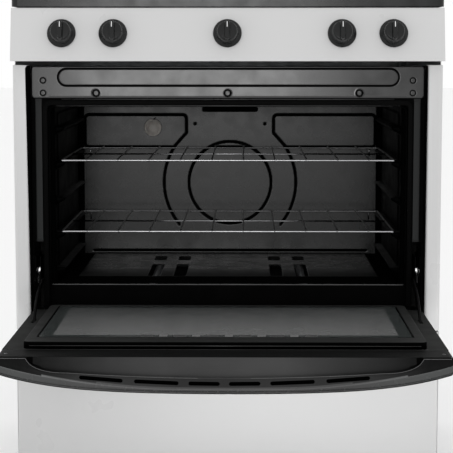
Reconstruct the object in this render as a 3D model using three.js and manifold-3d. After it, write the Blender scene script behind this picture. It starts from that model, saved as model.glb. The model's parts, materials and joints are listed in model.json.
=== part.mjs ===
// Freestanding gas range of the 30 inch class, shown with its oven door open.
// Millimetres, +Z up, the front faces -Y. While building, Y = 0 is the front plane of the side panels and
// Z = 0 is the floor. The last group shifts the range so that the origin is under the middle of its box.
import * as THREE from 'three';
import { mergeVertices } from 'three/addons/utils/BufferGeometryUtils.js';
import Module from 'manifold-3d';

const wasm = await Module();
wasm.setup();

// ---- driving dimensions ----
const BODY_HALF = 379.5; // half the overall width
const BODY_DEPTH = 640; // side panels, front to rear
const INLET_END = 652; // rear end of the gas inlet
const SHEET = 1.6; // formed sheet steel
const GAP = 0.4; // clearance between pieces that touch
const FLANGE = 28; // visible front flange of a side panel
const FLANGE_DEPTH = 24;
const FRAME_Y = 25; // recessed black front frame
const FRAME_HALF = 350.5;
const RAIL = { z0: 731, z1: 788, y: 23.2 };
const OPENING = { half: 318, z0: 394, z1: 716, radius: 14 };
const CAVITY = { half: 312, y0: 45, y1: 470, z0: 368, z1: 732 };
const FLOOR_Z = 396; // underside of the removable oven bottom
const DOOR = { half: 349.5, y0: 20, y1: -361, z0: 322, z1: 351 };
const PLUG = { half: 316.8, y0: -1, y1: -360, z1: 363, radius: 11 };
const CAP = { y0: -361.4, y1: -428, drop: 57, endDrop: 28.4 };
const DRAWER = { z0: 78, z1: 314, y0: -3, y1: 18, half: BODY_HALF };
const PANEL = { z0: 797, z1: 890, y0: -28, y1: -6, back: 30 };
const KNOB_Z = 845;
const COOKTOP = { z0: 892, z1: 914, floor: 902, y0: -8, y1: 558, wellHalf: 352 };
const BACKGUARD = { z0: 893, z1: 1190, y0: 562, lean: 16, y1: 638 };
const RACK = { half: 299.5, front: 38, middle: 216, rear: 402, wires: 10, pitch: 56.4 };
const WIRE = { frame: 2.8, cross: 2.2 }; // radii
const RACK_LEVELS = [426, 490.5, 554.8, 619, 683];
const UPPER_RACK_Z = RACK_LEVELS[3];
const LOWER_RACK_Z = RACK_LEVELS[1];
const ROUND = 16; // segments of a round piece

const BURNERS = [
  { name: 'front_left', x: -180, y: 150, radius: 38 },
  { name: 'front_right', x: 180, y: 150, radius: 46 },
  { name: 'rear_left', x: -180, y: 402, radius: 32 },
  { name: 'rear_right', x: 180, y: 402, radius: 38 },
];
const KNOBS = [
  { name: 'knob_front_left', x: -290 },
  { name: 'knob_rear_left', x: -200 },
  { name: 'knob_oven', x: 0 },
  { name: 'knob_rear_right', x: 200 },
  { name: 'knob_front_right', x: 290 },
];

// ---- materials ----
const finish = (color, roughness, metalness) =>
  new THREE.MeshStandardMaterial({ color, roughness, metalness });
const white = () => finish(0xd8d8d8, 0.35, 0);
const blackEnamel = () => finish(0x1b1c1c, 0.3, 0);
const greyEnamel = () => finish(0x3c3d3d, 0.35, 0);
const blackPlastic = () => finish(0x202020, 0.45, 0);
const castIron = () => finish(0x171717, 0.75, 0.2);
const galvanised = () => finish(0x9a9c9c, 0.5, 0.8);
const chrome = () => finish(0xcfd0d2, 0.15, 1);
const aluminium = () => finish(0xb4b5b6, 0.4, 0.9);
const darkGlass = () => finish(0x0c0d0e, 0.08, 0);
const fibre = () => finish(0xb9a96f, 0.95, 0);

// ---- solids ----
const up = (range) => [Math.min(...range), Math.max(...range)];

// A closed three.js geometry as a solid that can be joined and cut.
function solid(geometry) {
  geometry.deleteAttribute('normal');
  geometry.deleteAttribute('uv');
  const merged = mergeVertices(geometry, 1e-4);
  return new wasm.Manifold(
    new wasm.Mesh({
      numProp: 3,
      vertProperties: new Float32Array(merged.attributes.position.array),
      triVerts: new Uint32Array(merged.index.array),
    }),
  );
}

function box(x, y, z) {
  const [[x0, x1], [y0, y1], [z0, z1]] = [up(x), up(y), up(z)];
  const geometry = new THREE.BoxGeometry(x1 - x0, y1 - y0, z1 - z0);
  geometry.translate((x0 + x1) / 2, (y0 + y1) / 2, (z0 + z1) / 2);
  return solid(geometry);
}

const polygon = (points) => new THREE.Shape(points.map(([u, v]) => new THREE.Vector2(u, v)));

function roundedRect(u, v, radius) {
  const [[u0, u1], [v0, v1]] = [up(u), up(v)];
  const r = radius;
  const shape = new THREE.Shape();
  shape.absarc(u1 - r, v0 + r, r, -Math.PI / 2, 0);
  shape.absarc(u1 - r, v1 - r, r, 0, Math.PI / 2);
  shape.absarc(u0 + r, v1 - r, r, Math.PI / 2, Math.PI);
  shape.absarc(u0 + r, v0 + r, r, Math.PI, 1.5 * Math.PI);
  return shape;
}

function extrude(shape, length, segments) {
  const settings = { depth: length, steps: 1, bevelEnabled: false, curveSegments: segments };
  return new THREE.ExtrudeGeometry(shape, settings);
}

// Outlines drawn in XY, in (X, Z) or in (Y, Z), extruded along the axis that is left.
function prismZ(shape, z, segments = 2) {
  const [z0, z1] = up(z);
  return solid(extrude(shape, z1 - z0, segments).translate(0, 0, z0));
}

function prismY(shape, y, segments = 2) {
  const [y0, y1] = up(y);
  const turn = new THREE.Matrix4().makeRotationX(Math.PI / 2);
  return solid(extrude(shape, y1 - y0, segments).applyMatrix4(turn).translate(0, y1, 0));
}

function prismX(shape, x, segments = 2) {
  const [x0, x1] = up(x);
  const turn = new THREE.Matrix4().makeBasis(
    new THREE.Vector3(0, 1, 0),
    new THREE.Vector3(0, 0, 1),
    new THREE.Vector3(1, 0, 0),
  );
  return solid(extrude(shape, x1 - x0, segments).applyMatrix4(turn).translate(x0, 0, 0));
}

// A round bar between two points.
function bar(from, to, radius, sides = 8) {
  const a = new THREE.Vector3(...from);
  const b = new THREE.Vector3(...to);
  const axis = b.clone().sub(a);
  const geometry = new THREE.CylinderGeometry(radius, radius, axis.length(), sides);
  const upright = new THREE.Vector3(0, 1, 0);
  const turn = new THREE.Quaternion().setFromUnitVectors(upright, axis.clone().normalize());
  geometry.applyQuaternion(turn);
  const middle = a.add(b).multiplyScalar(0.5);
  return solid(geometry.translate(middle.x, middle.y, middle.z));
}

// A path through given points, stepped from point to point instead of evenly.
class Route extends THREE.Curve {
  constructor(points) {
    super();
    this.points = points;
  }

  getPoint(t) {
    const at = t * (this.points.length - 1);
    const i = Math.min(Math.floor(at), this.points.length - 2);
    return this.points[i].clone().lerp(this.points[i + 1], at - i);
  }

  getPointAt(u) {
    return this.getPoint(u);
  }

  getTangentAt(u) {
    return this.getTangent(u);
  }
}

// A round tube that follows straight runs, with a bend of the given radius at each inner point.
function bentTube(corners, radius, bend, sides = 8) {
  const at = corners.map((p) => new THREE.Vector3(...p));
  const points = [at[0]];
  for (let i = 1; i < at.length - 1; i += 1) {
    const before = at[i - 1].clone().sub(at[i]).setLength(bend).add(at[i]);
    const after = at[i + 1].clone().sub(at[i]).setLength(bend).add(at[i]);
    points.push(...new THREE.QuadraticBezierCurve3(before, at[i], after).getPoints(4));
  }
  points.push(at[at.length - 1]);
  const section = new THREE.Shape();
  section.absarc(0, 0, radius, 0, 2 * Math.PI);
  const options = { steps: points.length - 1, extrudePath: new Route(points), curveSegments: sides / 2 };
  return solid(new THREE.ExtrudeGeometry(section, { ...options, bevelEnabled: false }));
}

// A turned piece about +Z. The profile runs from the axis to the axis as [radius, height] pairs.
function turned(profile, segments = ROUND) {
  return solid(new THREE.LatheGeometry(profile.map(([r, z]) => new THREE.Vector2(r, z)), segments)
    .rotateX(Math.PI / 2));
}

// The same, turned about a line along Y through (x, z), with heights counted towards the rear.
function turnedY(profile, x, z, segments = ROUND) {
  const geometry = new THREE.LatheGeometry(profile.map(([r, h]) => new THREE.Vector2(r, h)), segments);
  return solid(geometry.translate(x, 0, z));
}

const join = (...solids) => solids.reduce((whole, next) => whole.add(next));
const cut = (whole, ...tools) => tools.reduce((left, tool) => left.subtract(tool), whole);

function part(name, shape, material, place = [0, 0, 0], tilt = 0) {
  const { vertProperties, triVerts } = shape.getMesh();
  const geometry = new THREE.BufferGeometry();
  geometry.setAttribute('position', new THREE.BufferAttribute(vertProperties, 3));
  geometry.setIndex(new THREE.BufferAttribute(triVerts, 1));
  geometry.computeVertexNormals();
  const mesh = new THREE.Mesh(geometry, material);
  mesh.name = name;
  mesh.position.set(...place);
  mesh.rotation.x = tilt;
  return mesh;
}

function group(...members) {
  const g = new THREE.Group();
  g.add(...members);
  return g;
}

// ---- body ----
function sidePanel(name, side) {
  const flangeTop = PANEL.z0 - 7;
  const flangeZ = [DRAWER.z1 + 3, flangeTop];
  const inner = BODY_HALF - FLANGE;
  const channel = cut(
    prismZ(roundedRect([side * inner, side * BODY_HALF], [0, 60], 6), flangeZ),
    prismZ(roundedRect([side * (inner + SHEET), side * (BODY_HALF - SHEET)], [SHEET, 70], 4.4), flangeZ),
    box([side * (inner - 1), side * (inner + SHEET + 1)], [FLANGE_DEPTH, 61], flangeZ),
    box([side * inner, side * BODY_HALF], [50, 61], flangeZ),
  );
  const wall = (y0, z) => box([side * (BODY_HALF - SHEET), side * BODY_HALF], [y0, BODY_DEPTH], z);
  const rearFlange = box(
    [side * (BODY_HALF - 17), side * BODY_HALF],
    [BODY_DEPTH - SHEET, BODY_DEPTH],
    [26, 891],
  );
  return part(
    name,
    join(
      channel,
      wall(49, flangeZ),
      wall(20, [26, flangeZ[0]]),
      wall(PANEL.back + 1, [flangeTop, 891]),
      rearFlange,
    ),
    white(),
  );
}

const FEET = [
  ['levelling_foot_front_left', -335, 76],
  ['levelling_foot_front_right', 335, 76],
  ['levelling_foot_rear_left', -335, 604],
  ['levelling_foot_rear_right', 335, 604],
];
const BASE_Z = [45, 66];

function baseFrame() {
  const ring = cut(
    box([-376, 376], [50, 632], BASE_Z),
    box([-305, 305], [104, 578], [BASE_Z[0] - 1, BASE_Z[1] + 1]),
  );
  const holes = FEET.map(([, x, y]) => bar([x, y, 40], [x, y, 70], 6.6, 12));
  const toePlate = box([-376, 376], [50, 52], [16, BASE_Z[1]]);
  return part('base_frame', cut(join(ring, toePlate), ...holes), galvanised());
}

function levellingFoot([name, x, y]) {
  const profile = [[0, 0], [19, 0], [19, 5], [11, 12], [6, 12], [6, 74], [0, 74]];
  return part(name, turned(profile, 12), galvanised(), [x, y, 0]);
}

const INLET = { x: 250, y: 590, z: 112 };
const CORD_GLAND = { x: -250, z: 112 };

function backPanel() {
  const louvres = [-200, -100, 0, 100, 200].map((x) =>
    prismY(roundedRect([x - 36, x + 36], [820, 828], 3.9), [630, 645]));
  return part(
    'back_panel',
    cut(
      box([-377.4, 377.4], [BODY_DEPTH - 2 * SHEET - GAP, BODY_DEPTH - SHEET - GAP], [70, 888]),
      bar([INLET.x, 630, INLET.z], [INLET.x, 645, INLET.z], 17, 16),
      bar([CORD_GLAND.x, 630, CORD_GLAND.z], [CORD_GLAND.x, 645, CORD_GLAND.z], 9, 12),
      ...louvres,
    ),
    galvanised(),
  );
}

function cordGland() {
  const rear = BODY_DEPTH - SHEET - GAP;
  const profile = [
    [0, rear - 14], [14, rear - 14], [14, rear - 2], [8.6, rear - 2],
    [8.6, rear + 1], [12, rear + 1], [10, rear + 12], [0, rear + 12],
  ];
  return part('power_cord_gland', turnedY(profile, CORD_GLAND.x, CORD_GLAND.z, 12), blackPlastic());
}

// ---- front frame and oven ----
const SLOT = { x0: 331.3, x1: 347.8, z0: 342, z1: 474 }; // where a hinge arm goes through the frame

function frontFrame() {
  const back = FRAME_Y + 2;
  const sillHalf = 326;
  const plate = cut(
    box([-FRAME_HALF, FRAME_HALF], [FRAME_Y, back], [303, RAIL.z1]),
    prismY(roundedRect([-322, 322], [353, 720], 12), [FRAME_Y - 1, back + 1]),
    ...[-1, 1].map((s) => box([s * SLOT.x0, s * SLOT.x1], [FRAME_Y - 1, back + 1], [SLOT.z0, SLOT.z1])),
  );
  const sill = join(
    box([-sillHalf, sillHalf], [38, 39.6], [346, 392]),
    box([-sillHalf, sillHalf], [FRAME_Y + 1, 39.6], [346, 348]),
    ...[-1, 1].map((s) => box([s * 324, s * sillHalf], [FRAME_Y + 1, 39.6], [346, 392])),
  );
  const ribs = [-1, 1].map((s) => box([s * 331.6, s * 341.6], [22, FRAME_Y + 1], [SLOT.z1 + 4, 725]));
  return part('front_frame', join(plate, sill, ...ribs), blackEnamel());
}

// The grey rail over the oven opening, with a long raised stadium in a groove and bosses for its screws.
function topRail() {
  const mid = { z0: 751.6, z1: 785 };
  const outline = roundedRect([-FRAME_HALF, FRAME_HALF], [RAIL.z0, RAIL.z1], 5);
  const rail = prismY(outline, [RAIL.y, FRAME_Y - GAP / 2]);
  const groove = prismY(roundedRect([-301.5, 301.5], [mid.z0, mid.z1], 16.6), [RAIL.y - 1, RAIL.y + 0.8], 4);
  const stadium = roundedRect([-298.5, 298.5], [mid.z0 + 3, mid.z1 - 3], 13.6);
  const raised = prismY(stadium, [RAIL.y - 0.8, RAIL.y + 1], 4);
  const bosses = [-234, 0, 234].map((x) => bar([x, RAIL.y - 1.2, 740.4], [x, RAIL.y + 1, 740.4], 5, 8));
  return part('front_top_rail', join(cut(rail, groove), raised, ...bosses), greyEnamel());
}

const BACK_FACE = CAVITY.y1;
const EMBOSS = 3; // how far the stamped fields of the back wall stand forward
const RINGS = { z: 543, inner: 85, outer: 136.5, groove: 4 };
const FIELD = { outer: 298, inner: 90, low: 116, top: 683.6, knee: 646, bottom: 616.5 };
const LAMP = { x: -159, z: 657, radius: 18 };

// One upper field of the back wall: square at the outside, its inner corner cut off at an angle.
function wallField(side) {
  const outline = polygon([
    [side * FIELD.inner, FIELD.top],
    [side * FIELD.outer, FIELD.top],
    [side * FIELD.outer, FIELD.bottom],
    [side * FIELD.low, FIELD.bottom],
    [side * FIELD.inner, FIELD.knee],
  ]);
  return prismY(outline, [BACK_FACE - EMBOSS, BACK_FACE + 1]);
}

function ovenLiner() {
  const t = SHEET;
  const { half, y0, y1, z0, z1 } = CAVITY;
  const shell = cut(
    box([-half - t, half + t], [y0 - t, y1 + t], [z0 - t, z1 + t]),
    box([-half, half], [y0, y1], [z0, z1]),
  );
  const outerHalf = OPENING.half + t;
  const collarZ = [OPENING.z0 - t, OPENING.z1 + t];
  const collarOuter = roundedRect([-outerHalf, outerHalf], collarZ, OPENING.radius);
  const collar = prismY(collarOuter, [FRAME_Y - 1, y0]);
  const mouth = prismY(
    roundedRect([-OPENING.half, OPENING.half], [OPENING.z0, OPENING.z1], OPENING.radius - t),
    [FRAME_Y - 2, y0 + 1],
  );
  const sillRelief = box(
    [-OPENING.half, OPENING.half],
    [FRAME_Y - 2, 40.4],
    [OPENING.z0 - 5, OPENING.z0 + OPENING.radius],
  );
  const guides = [];
  for (const side of [-1, 1]) {
    for (const level of RACK_LEVELS) {
      const top = level - WIRE.frame - GAP;
      const ledge = polygon([[side * (half + 1), top], [side * 296, top], [side * 296, top - 4],
        [side * (half + 1), top - 16]]);
      guides.push(prismY(ledge, [62, 440]));
    }
    guides.push(box([side * 300, side * (half + 1)], [50, 465], [FLOOR_Z - 7, FLOOR_Z - GAP]));
  }
  const ringShape = new THREE.Shape();
  ringShape.absarc(0, RINGS.z, RINGS.outer - RINGS.groove / 2, 0, 2 * Math.PI);
  const hole = new THREE.Path();
  hole.absarc(0, RINGS.z, RINGS.inner + RINGS.groove / 2, 0, 2 * Math.PI);
  ringShape.holes.push(hole);
  const disc = new THREE.Shape();
  disc.absarc(0, RINGS.z, RINGS.inner - RINGS.groove / 2, 0, 2 * Math.PI);
  const lowTrim = box([-200, 200], [BACK_FACE - 10, BACK_FACE], [300, 440]);
  const embossY = [BACK_FACE - EMBOSS, BACK_FACE + 1];
  const rings = [ringShape, disc].map((shape) => cut(prismY(shape, embossY, 16), lowTrim));
  const flue = prismY(roundedRect([-56, 56], [691, 699], 3.9), [y1 - 5, y1 + 5]);
  const lampHole = bar([LAMP.x, y1 - 9, LAMP.z], [LAMP.x, y1 + 5, LAMP.z], 10, 16);
  const probeHole = bar([PROBE.x, y1 - 9, PROBE.z], [PROBE.x, y1 + 5, PROBE.z], 3.6, 8);
  const whole = cut(join(shell, collar), mouth, sillRelief);
  return part(
    'oven_liner',
    cut(join(whole, ...guides, wallField(-1), wallField(1), ...rings), flue, lampHole, probeHole),
    blackEnamel(),
  );
}

function ovenBottom() {
  const slots = [];
  for (const x of [-138, -90, 90, 138]) {
    for (const y of [[116, 276], [336, 396]]) {
      slots.push(prismZ(roundedRect([x - 11.5, x + 11.5], y, 5), [FLOOR_Z - 1, FLOOR_Z + 5]));
    }
  }
  const sheet = box([-308, 308], [50, 462], [FLOOR_Z, FLOOR_Z + 2.4]);
  return part('oven_bottom', cut(sheet, ...slots), blackEnamel());
}

function ovenGasket() {
  const y = [20.6, FRAME_Y - GAP / 2];
  return part(
    'oven_gasket',
    cut(
      prismY(roundedRect([-330.8, 330.8], [300, 728], 14), y),
      prismY(roundedRect([-321, 321], [290, 719], 8), [y[0] - 1, y[1] + 1]),
      box([-340, 340], [y[0] - 1, y[1] + 1], [280, 358]),
    ),
    finish(0x2a2a2a, 0.9, 0),
  );
}

function tubeBurner(name, half, front, rear, z, radius) {
  const path = [[-half, front, z], [-half, rear, z], [half, rear, z], [half, front, z]];
  return part(name, bentTube(path, radius, 40), galvanised());
}

const PROBE = { x: 230, z: 716 };

function ovenFittings() {
  const wall = BACK_FACE - EMBOSS - GAP;
  const lens = turnedY(
    [
      [0, wall - 13], [9, wall - 12], [LAMP.radius - 4, wall - 8], [LAMP.radius, wall - 3],
      [LAMP.radius, wall], [9.5, wall], [9.5, BACK_FACE + 3], [0, BACK_FACE + 3],
    ],
    LAMP.x,
    LAMP.z,
  );
  const socketFront = BACK_FACE + 3 + GAP;
  const socket = turnedY(
    [
      [0, socketFront], [20, socketFront], [20, socketFront + 4],
      [14, socketFront + 6], [14, socketFront + 44], [0, socketFront + 44],
    ],
    LAMP.x,
    LAMP.z,
    14,
  );
  const probe = turnedY(
    [
      [0, 350], [3, 352], [3, 466], [7, 466],
      [7, BACK_FACE - GAP], [3.2, BACK_FACE - GAP], [3.2, 490], [0, 490],
    ],
    PROBE.x,
    PROBE.z,
    10,
  );
  return [
    part('oven_lamp_lens', lens, finish(0x777068, 0.2, 0)),
    part('oven_lamp_socket', socket, finish(0xd9d4c8, 0.6, 0)),
    part('oven_temperature_probe', probe, chrome()),
  ];
}

function insulation() {
  const { half, y1, z0, z1 } = CAVITY;
  const clear = SHEET + 1;
  return part(
    'insulation_blanket',
    cut(
      box([-350, 350], [60, 500], [340, 762]),
      box([-half - clear, half + clear], [59, y1 + clear], [z0 - clear, z1 + clear]),
      ...[-1, 1].map((s) => box([s * 300, s * 351], [59, 126], [339, 490])),
      bar([LAMP.x, 460, LAMP.z], [LAMP.x, 510, LAMP.z], 24, 12),
      bar([PROBE.x, 460, PROBE.z], [PROBE.x, 510, PROBE.z], 6, 8),
      box([-58, 58], [460, 510], [688, 702]),
    ),
    fibre(),
  );
}

// Steel channel behind the frame, with the bright roller that the hinge arm runs beside.
function hingeReceiver(name, side) {
  const roller = { y: 32.6, z: 421, radius: 6.8 };
  const plate = (x0, x1) => box([side * x0, side * x1], [28, 112], [404, 446]);
  return part(
    name,
    join(
      plate(337.2, 338.6),
      plate(345.8, 347.2),
      box([side * 337.2, side * 347.2], [110.4, 112], [404, 446]),
      bar([side * 337.6, roller.y, roller.z], [side * 346.8, roller.y, roller.z], roller.radius, 14),
    ),
    chrome(),
  );
}

// ---- gas train and control panel ----
const PANEL_TILT = Math.atan2(PANEL.z1 - PANEL.z0, PANEL.y1 - PANEL.y0); // of the face, from the horizontal
const OUTWARD = { y: -Math.sin(PANEL_TILT), z: Math.cos(PANEL_TILT) };
const KNOB_Y = PANEL.y0 + ((KNOB_Z - PANEL.z0) * (PANEL.y1 - PANEL.y0)) / (PANEL.z1 - PANEL.z0);
const alongStem = (x, h) => [x, KNOB_Y + OUTWARD.y * h, KNOB_Z + OUTWARD.z * h];
const STEM_END = -14;

function manifoldPanel() {
  const { y0, y1, z0, z1, back } = PANEL;
  const t = SHEET;
  return part(
    'manifold_panel',
    cut(
      prismX(polygon([[y0, z0], [y1, z1], [back, z1], [back, z0]]), [-BODY_HALF, BODY_HALF]),
      prismX(
        polygon([[y0 + 1.3 * t, z0 + t], [y1 + 0.8 * t, z1 - t], [back + 1, z1 - t], [back + 1, z0 + t]]),
        [-BODY_HALF + t, BODY_HALF - t],
      ),
      ...KNOBS.map(({ x }) => bar(alongStem(x, -8), alongStem(x, 6), 6, 12)),
    ),
    white(),
  );
}

const GAS_PIPE = { y: 18, z: 836.5, radius: 9, end: 345 };
const SUPPLY_X = 362;

function gasManifold() {
  const pipeEnd = (x) => [x, GAS_PIPE.y, GAS_PIPE.z];
  const pipe = bar(pipeEnd(-320), pipeEnd(GAS_PIPE.end), GAS_PIPE.radius, 12);
  const valves = KNOBS.map(({ x }) => bar(alongStem(x, STEM_END - GAP), [x, GAS_PIPE.y, GAS_PIPE.z], 8, 10));
  return part('gas_manifold', join(pipe, ...valves), aluminium());
}

function gasSupply() {
  const end = GAS_PIPE.end + GAP;
  const route = [
    [INLET.x + 61, INLET.y, INLET.z],
    [SUPPLY_X, INLET.y, INLET.z],
    [SUPPLY_X, INLET.y, GAS_PIPE.z],
    [SUPPLY_X, GAS_PIPE.y, GAS_PIPE.z],
    [end, GAS_PIPE.y, GAS_PIPE.z],
  ];
  const body = turned([[0, -22], [26, -22], [30, -6], [30, 2], [16, 8], [14, 24], [0, 24]], 16)
    .add(bar([20, 0, 0], [60, 0, 0], 8, 10))
    .add(bar([0, 20, 0], [0, INLET_END - INLET.y - 12, 0], 10.5, 12))
    .add(bar([0, INLET_END - INLET.y - 14, 0], [0, INLET_END - INLET.y, 0], 14, 6));
  return [
    part('gas_regulator', body, aluminium(), [INLET.x, INLET.y, INLET.z]),
    part('gas_supply_tube', bentTube(route, 6, 14, 8), galvanised()),
  ];
}

function knob({ name, x }) {
  const skirt = turned([[0, 1], [25, 1], [25, 4], [19, 7], [17, 24], [0, 24]]);
  const grip = join(
    prismX(polygon([[-17, 8], [17, 8], [15, 31], [-15, 31]]), [-4.5, 4.5]),
    bar([0, 0, STEM_END], [0, 0, 4], 4.6, 10),
  );
  return part(name, skirt.add(grip), blackPlastic(), [x, KNOB_Y, KNOB_Z], PANEL_TILT);
}

// ---- cooktop ----
function cooktop() {
  const { z0, z1, floor, y0, y1, wellHalf } = COOKTOP;
  return part(
    'cooktop',
    cut(
      prismZ(roundedRect([-BODY_HALF, BODY_HALF], [y0, y1], 12), [z0, z1]),
      prismZ(roundedRect([-wellHalf, wellHalf], [22, 530], 20), [floor, z1 + 1], 3),
      prismZ(roundedRect([-BODY_HALF + 3, BODY_HALF - 3], [y0 + 3, y1 - 3], 9), [z0 - 1, floor - SHEET]),
      ...BURNERS.map(({ x, y, radius }) => bar([x, y, z0], [x, y, z1], radius - 10, ROUND)),
    ),
    blackEnamel(),
  );
}

function burner({ name, x, y, radius }) {
  const seat = COOKTOP.floor + GAP;
  const throat = radius - 10.6;
  const base = [[0, 878], [12, 878], [12, 890], [throat, 894], [throat, seat], [radius + 5, seat],
    [radius + 5, seat + 2.5], [radius - 4, seat + 4], [radius - 5, 917], [0, 917]];
  const cap = [[0, 917 + GAP], [radius - 1, 917 + GAP], [radius, 920], [radius - 3, 925], [0, 926]];
  return [
    part(`burner_base_${name}`, turned(base), aluminium(), [x, y, 0]),
    part(`burner_cap_${name}`, turned(cap), castIron(), [x, y, 0]),
  ];
}

const GRATE = { x0: 16, x1: 344, y0: 30, y1: 522, z0: 929, z1: 941, bar: 9 };

function grate(name, side) {
  const { x0, x1, y0, y1, z0, z1, bar: w } = GRATE;
  const feetX = [x0, x1 - w];
  const middle = (y0 + y1) / 2;
  const centre = (x0 + x1) / 2;
  const length = (x, y) => box([side * x[0], side * x[1]], y, [z0, z1]);
  const pieces = [
    length([x0, x0 + w], [y0, y1]),
    length([x1 - w, x1], [y0, y1]),
    length([x0, x1], [y0, y0 + w]),
    length([x0, x1], [y1 - w, y1]),
    length([x0, x1], [middle - w / 2, middle + w / 2]),
  ];
  for (const { y } of BURNERS.filter((b) => b.x > 0)) {
    const ends = y < middle ? [y0, middle] : [middle, y1];
    pieces.push(length([x0, centre - 30], [y - w / 2, y + w / 2]));
    pieces.push(length([centre + 30, x1], [y - w / 2, y + w / 2]));
    pieces.push(length([centre - w / 2, centre + w / 2], [ends[0], y - 30]));
    pieces.push(length([centre - w / 2, centre + w / 2], [y + 30, ends[1]]));
  }
  for (const x of feetX) {
    for (const y of [y0, middle - w / 2, y1 - w]) {
      pieces.push(box([side * x, side * (x + w)], [y, y + w], [COOKTOP.floor + GAP, z1]));
    }
  }
  return part(name, join(...pieces), castIron());
}

// ---- backguard ----
function backguard() {
  const { z0, z1, y0, y1, lean } = BACKGUARD;
  const t = SHEET;
  const outline = new THREE.Shape();
  outline.moveTo(y1, z0);
  outline.lineTo(y1, z1);
  outline.lineTo(y0 + lean + 22, z1);
  outline.quadraticCurveTo(y0 + lean + 2, z1, y0 + lean, z1 - 22);
  outline.lineTo(y0, z0 + 24);
  outline.lineTo(y0, z0);
  const hollow = polygon([
    [y1 + 1, z0 - 1], [y1 + 1, z1 - t], [y0 + lean + 21, z1 - t],
    [y0 + lean + 2, z1 - 22], [y0 + t, z0 + 24], [y0 + t, z0 - 1],
  ]);
  const face = (z) => y0 + (lean * (z - z0 - 24)) / (z1 - z0 - 46);
  const window = prismX(
    polygon([[face(1015) - 5, 1015], [face(1015) + 8, 1015], [face(1105) + 8, 1105], [face(1105) - 5, 1105]]),
    [-150, 150],
  );
  const vents = [-120, -60, 0, 60, 120].map((x) =>
    prismY(roundedRect([x - 22, x + 22], [936, 944], 3.9), [y0 - 4, y0 + 8]));
  const glass = prismX(
    polygon([[face(1015.5) - 0.6, 1015.5], [face(1015.5) + 3.4, 1015.5], [face(1104.5) + 3.4, 1104.5],
      [face(1104.5) - 0.6, 1104.5]]),
    [-149.5, 149.5],
  );
  return [
    part(
      'backguard',
      cut(
        prismX(outline, [-BODY_HALF, BODY_HALF]),
        prismX(hollow, [-BODY_HALF + t, BODY_HALF - t]),
        window,
        ...vents,
      ),
      white(),
    ),
    part('clock_panel', glass, darkGlass()),
    part(
      'backguard_rear_cover',
      box([-377.4, 377.4], [y1 - t - GAP, y1 - GAP], [z0 + 2, z1 - t - GAP]),
      galvanised(),
    ),
  ];
}

// ---- drawer ----
const RUNNER = { z: 150, half: 350 };

function drawer() {
  const { z0, z1, y0, y1, half } = DRAWER;
  const t = SHEET;
  const front = cut(
    prismZ(roundedRect([-half, half], [y0, y1 + 12], 6), [z0, z1]),
    box([-half - 1, half + 1], [y1, y1 + 13], [z0 - 1, z1 + 1]),
    box([-half + t, half - t], [y0 + t, y1 + 1], [z0 + t, z1 - t]),
  );
  const tray = join(
    cut(box([-330, 330], [y1 + GAP, 560], [98, 240]), box([-328, 328], [y1 + GAP + 2, 558], [100, 241])),
    ...[-1, 1].map((s) => box([s * 329, s * RUNNER.half], [40, 560], [RUNNER.z + 3 + GAP, RUNNER.z + 6])),
  );
  return [part('drawer_front', front, white()), part('drawer_box', tray, galvanised())];
}

function drawerRail(name, side) {
  const wallX = BODY_HALF - SHEET - GAP;
  return part(
    name,
    join(
      box([side * (wallX - 2), side * wallX], [60, 560], [RUNNER.z - 24, RUNNER.z + 24]),
      box([side * 338, side * wallX], [60, 560], [RUNNER.z, RUNNER.z + 3]),
      box([side * 352, side * wallX], [60, 560], [RUNNER.z + 12, RUNNER.z + 14]),
    ),
    galvanised(),
  );
}

// ---- racks ----
function rack(name, z) {
  const { half, front, middle, rear, wires, pitch } = RACK;
  const { frame, cross: radius } = WIRE;
  const drop = 1.6; // the fore-and-aft wires lie on top of the frame
  const pieces = [
    bar([-half, front, z], [half, front, z], frame, 6),
    bar([-half, rear, z], [half, rear, z], frame, 6),
    bar([-half, middle, z], [half, middle, z], radius, 6),
    bar([-half, front, z], [-half, rear, z], frame, 6),
    bar([half, front, z], [half, rear, z], frame, 6),
  ];
  for (let i = 0; i < wires; i += 1) {
    const x = (i - (wires - 1) / 2) * pitch;
    pieces.push(bar([x, front - 1, z + drop], [x, rear + 1, z + drop], radius, 4));
  }
  return part(name, join(...pieces), chrome());
}

// ---- door, built open ----
const HINGE_SLOT = { x0: 331, x1: 336.8, y0: -122, y1: -84 };

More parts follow.
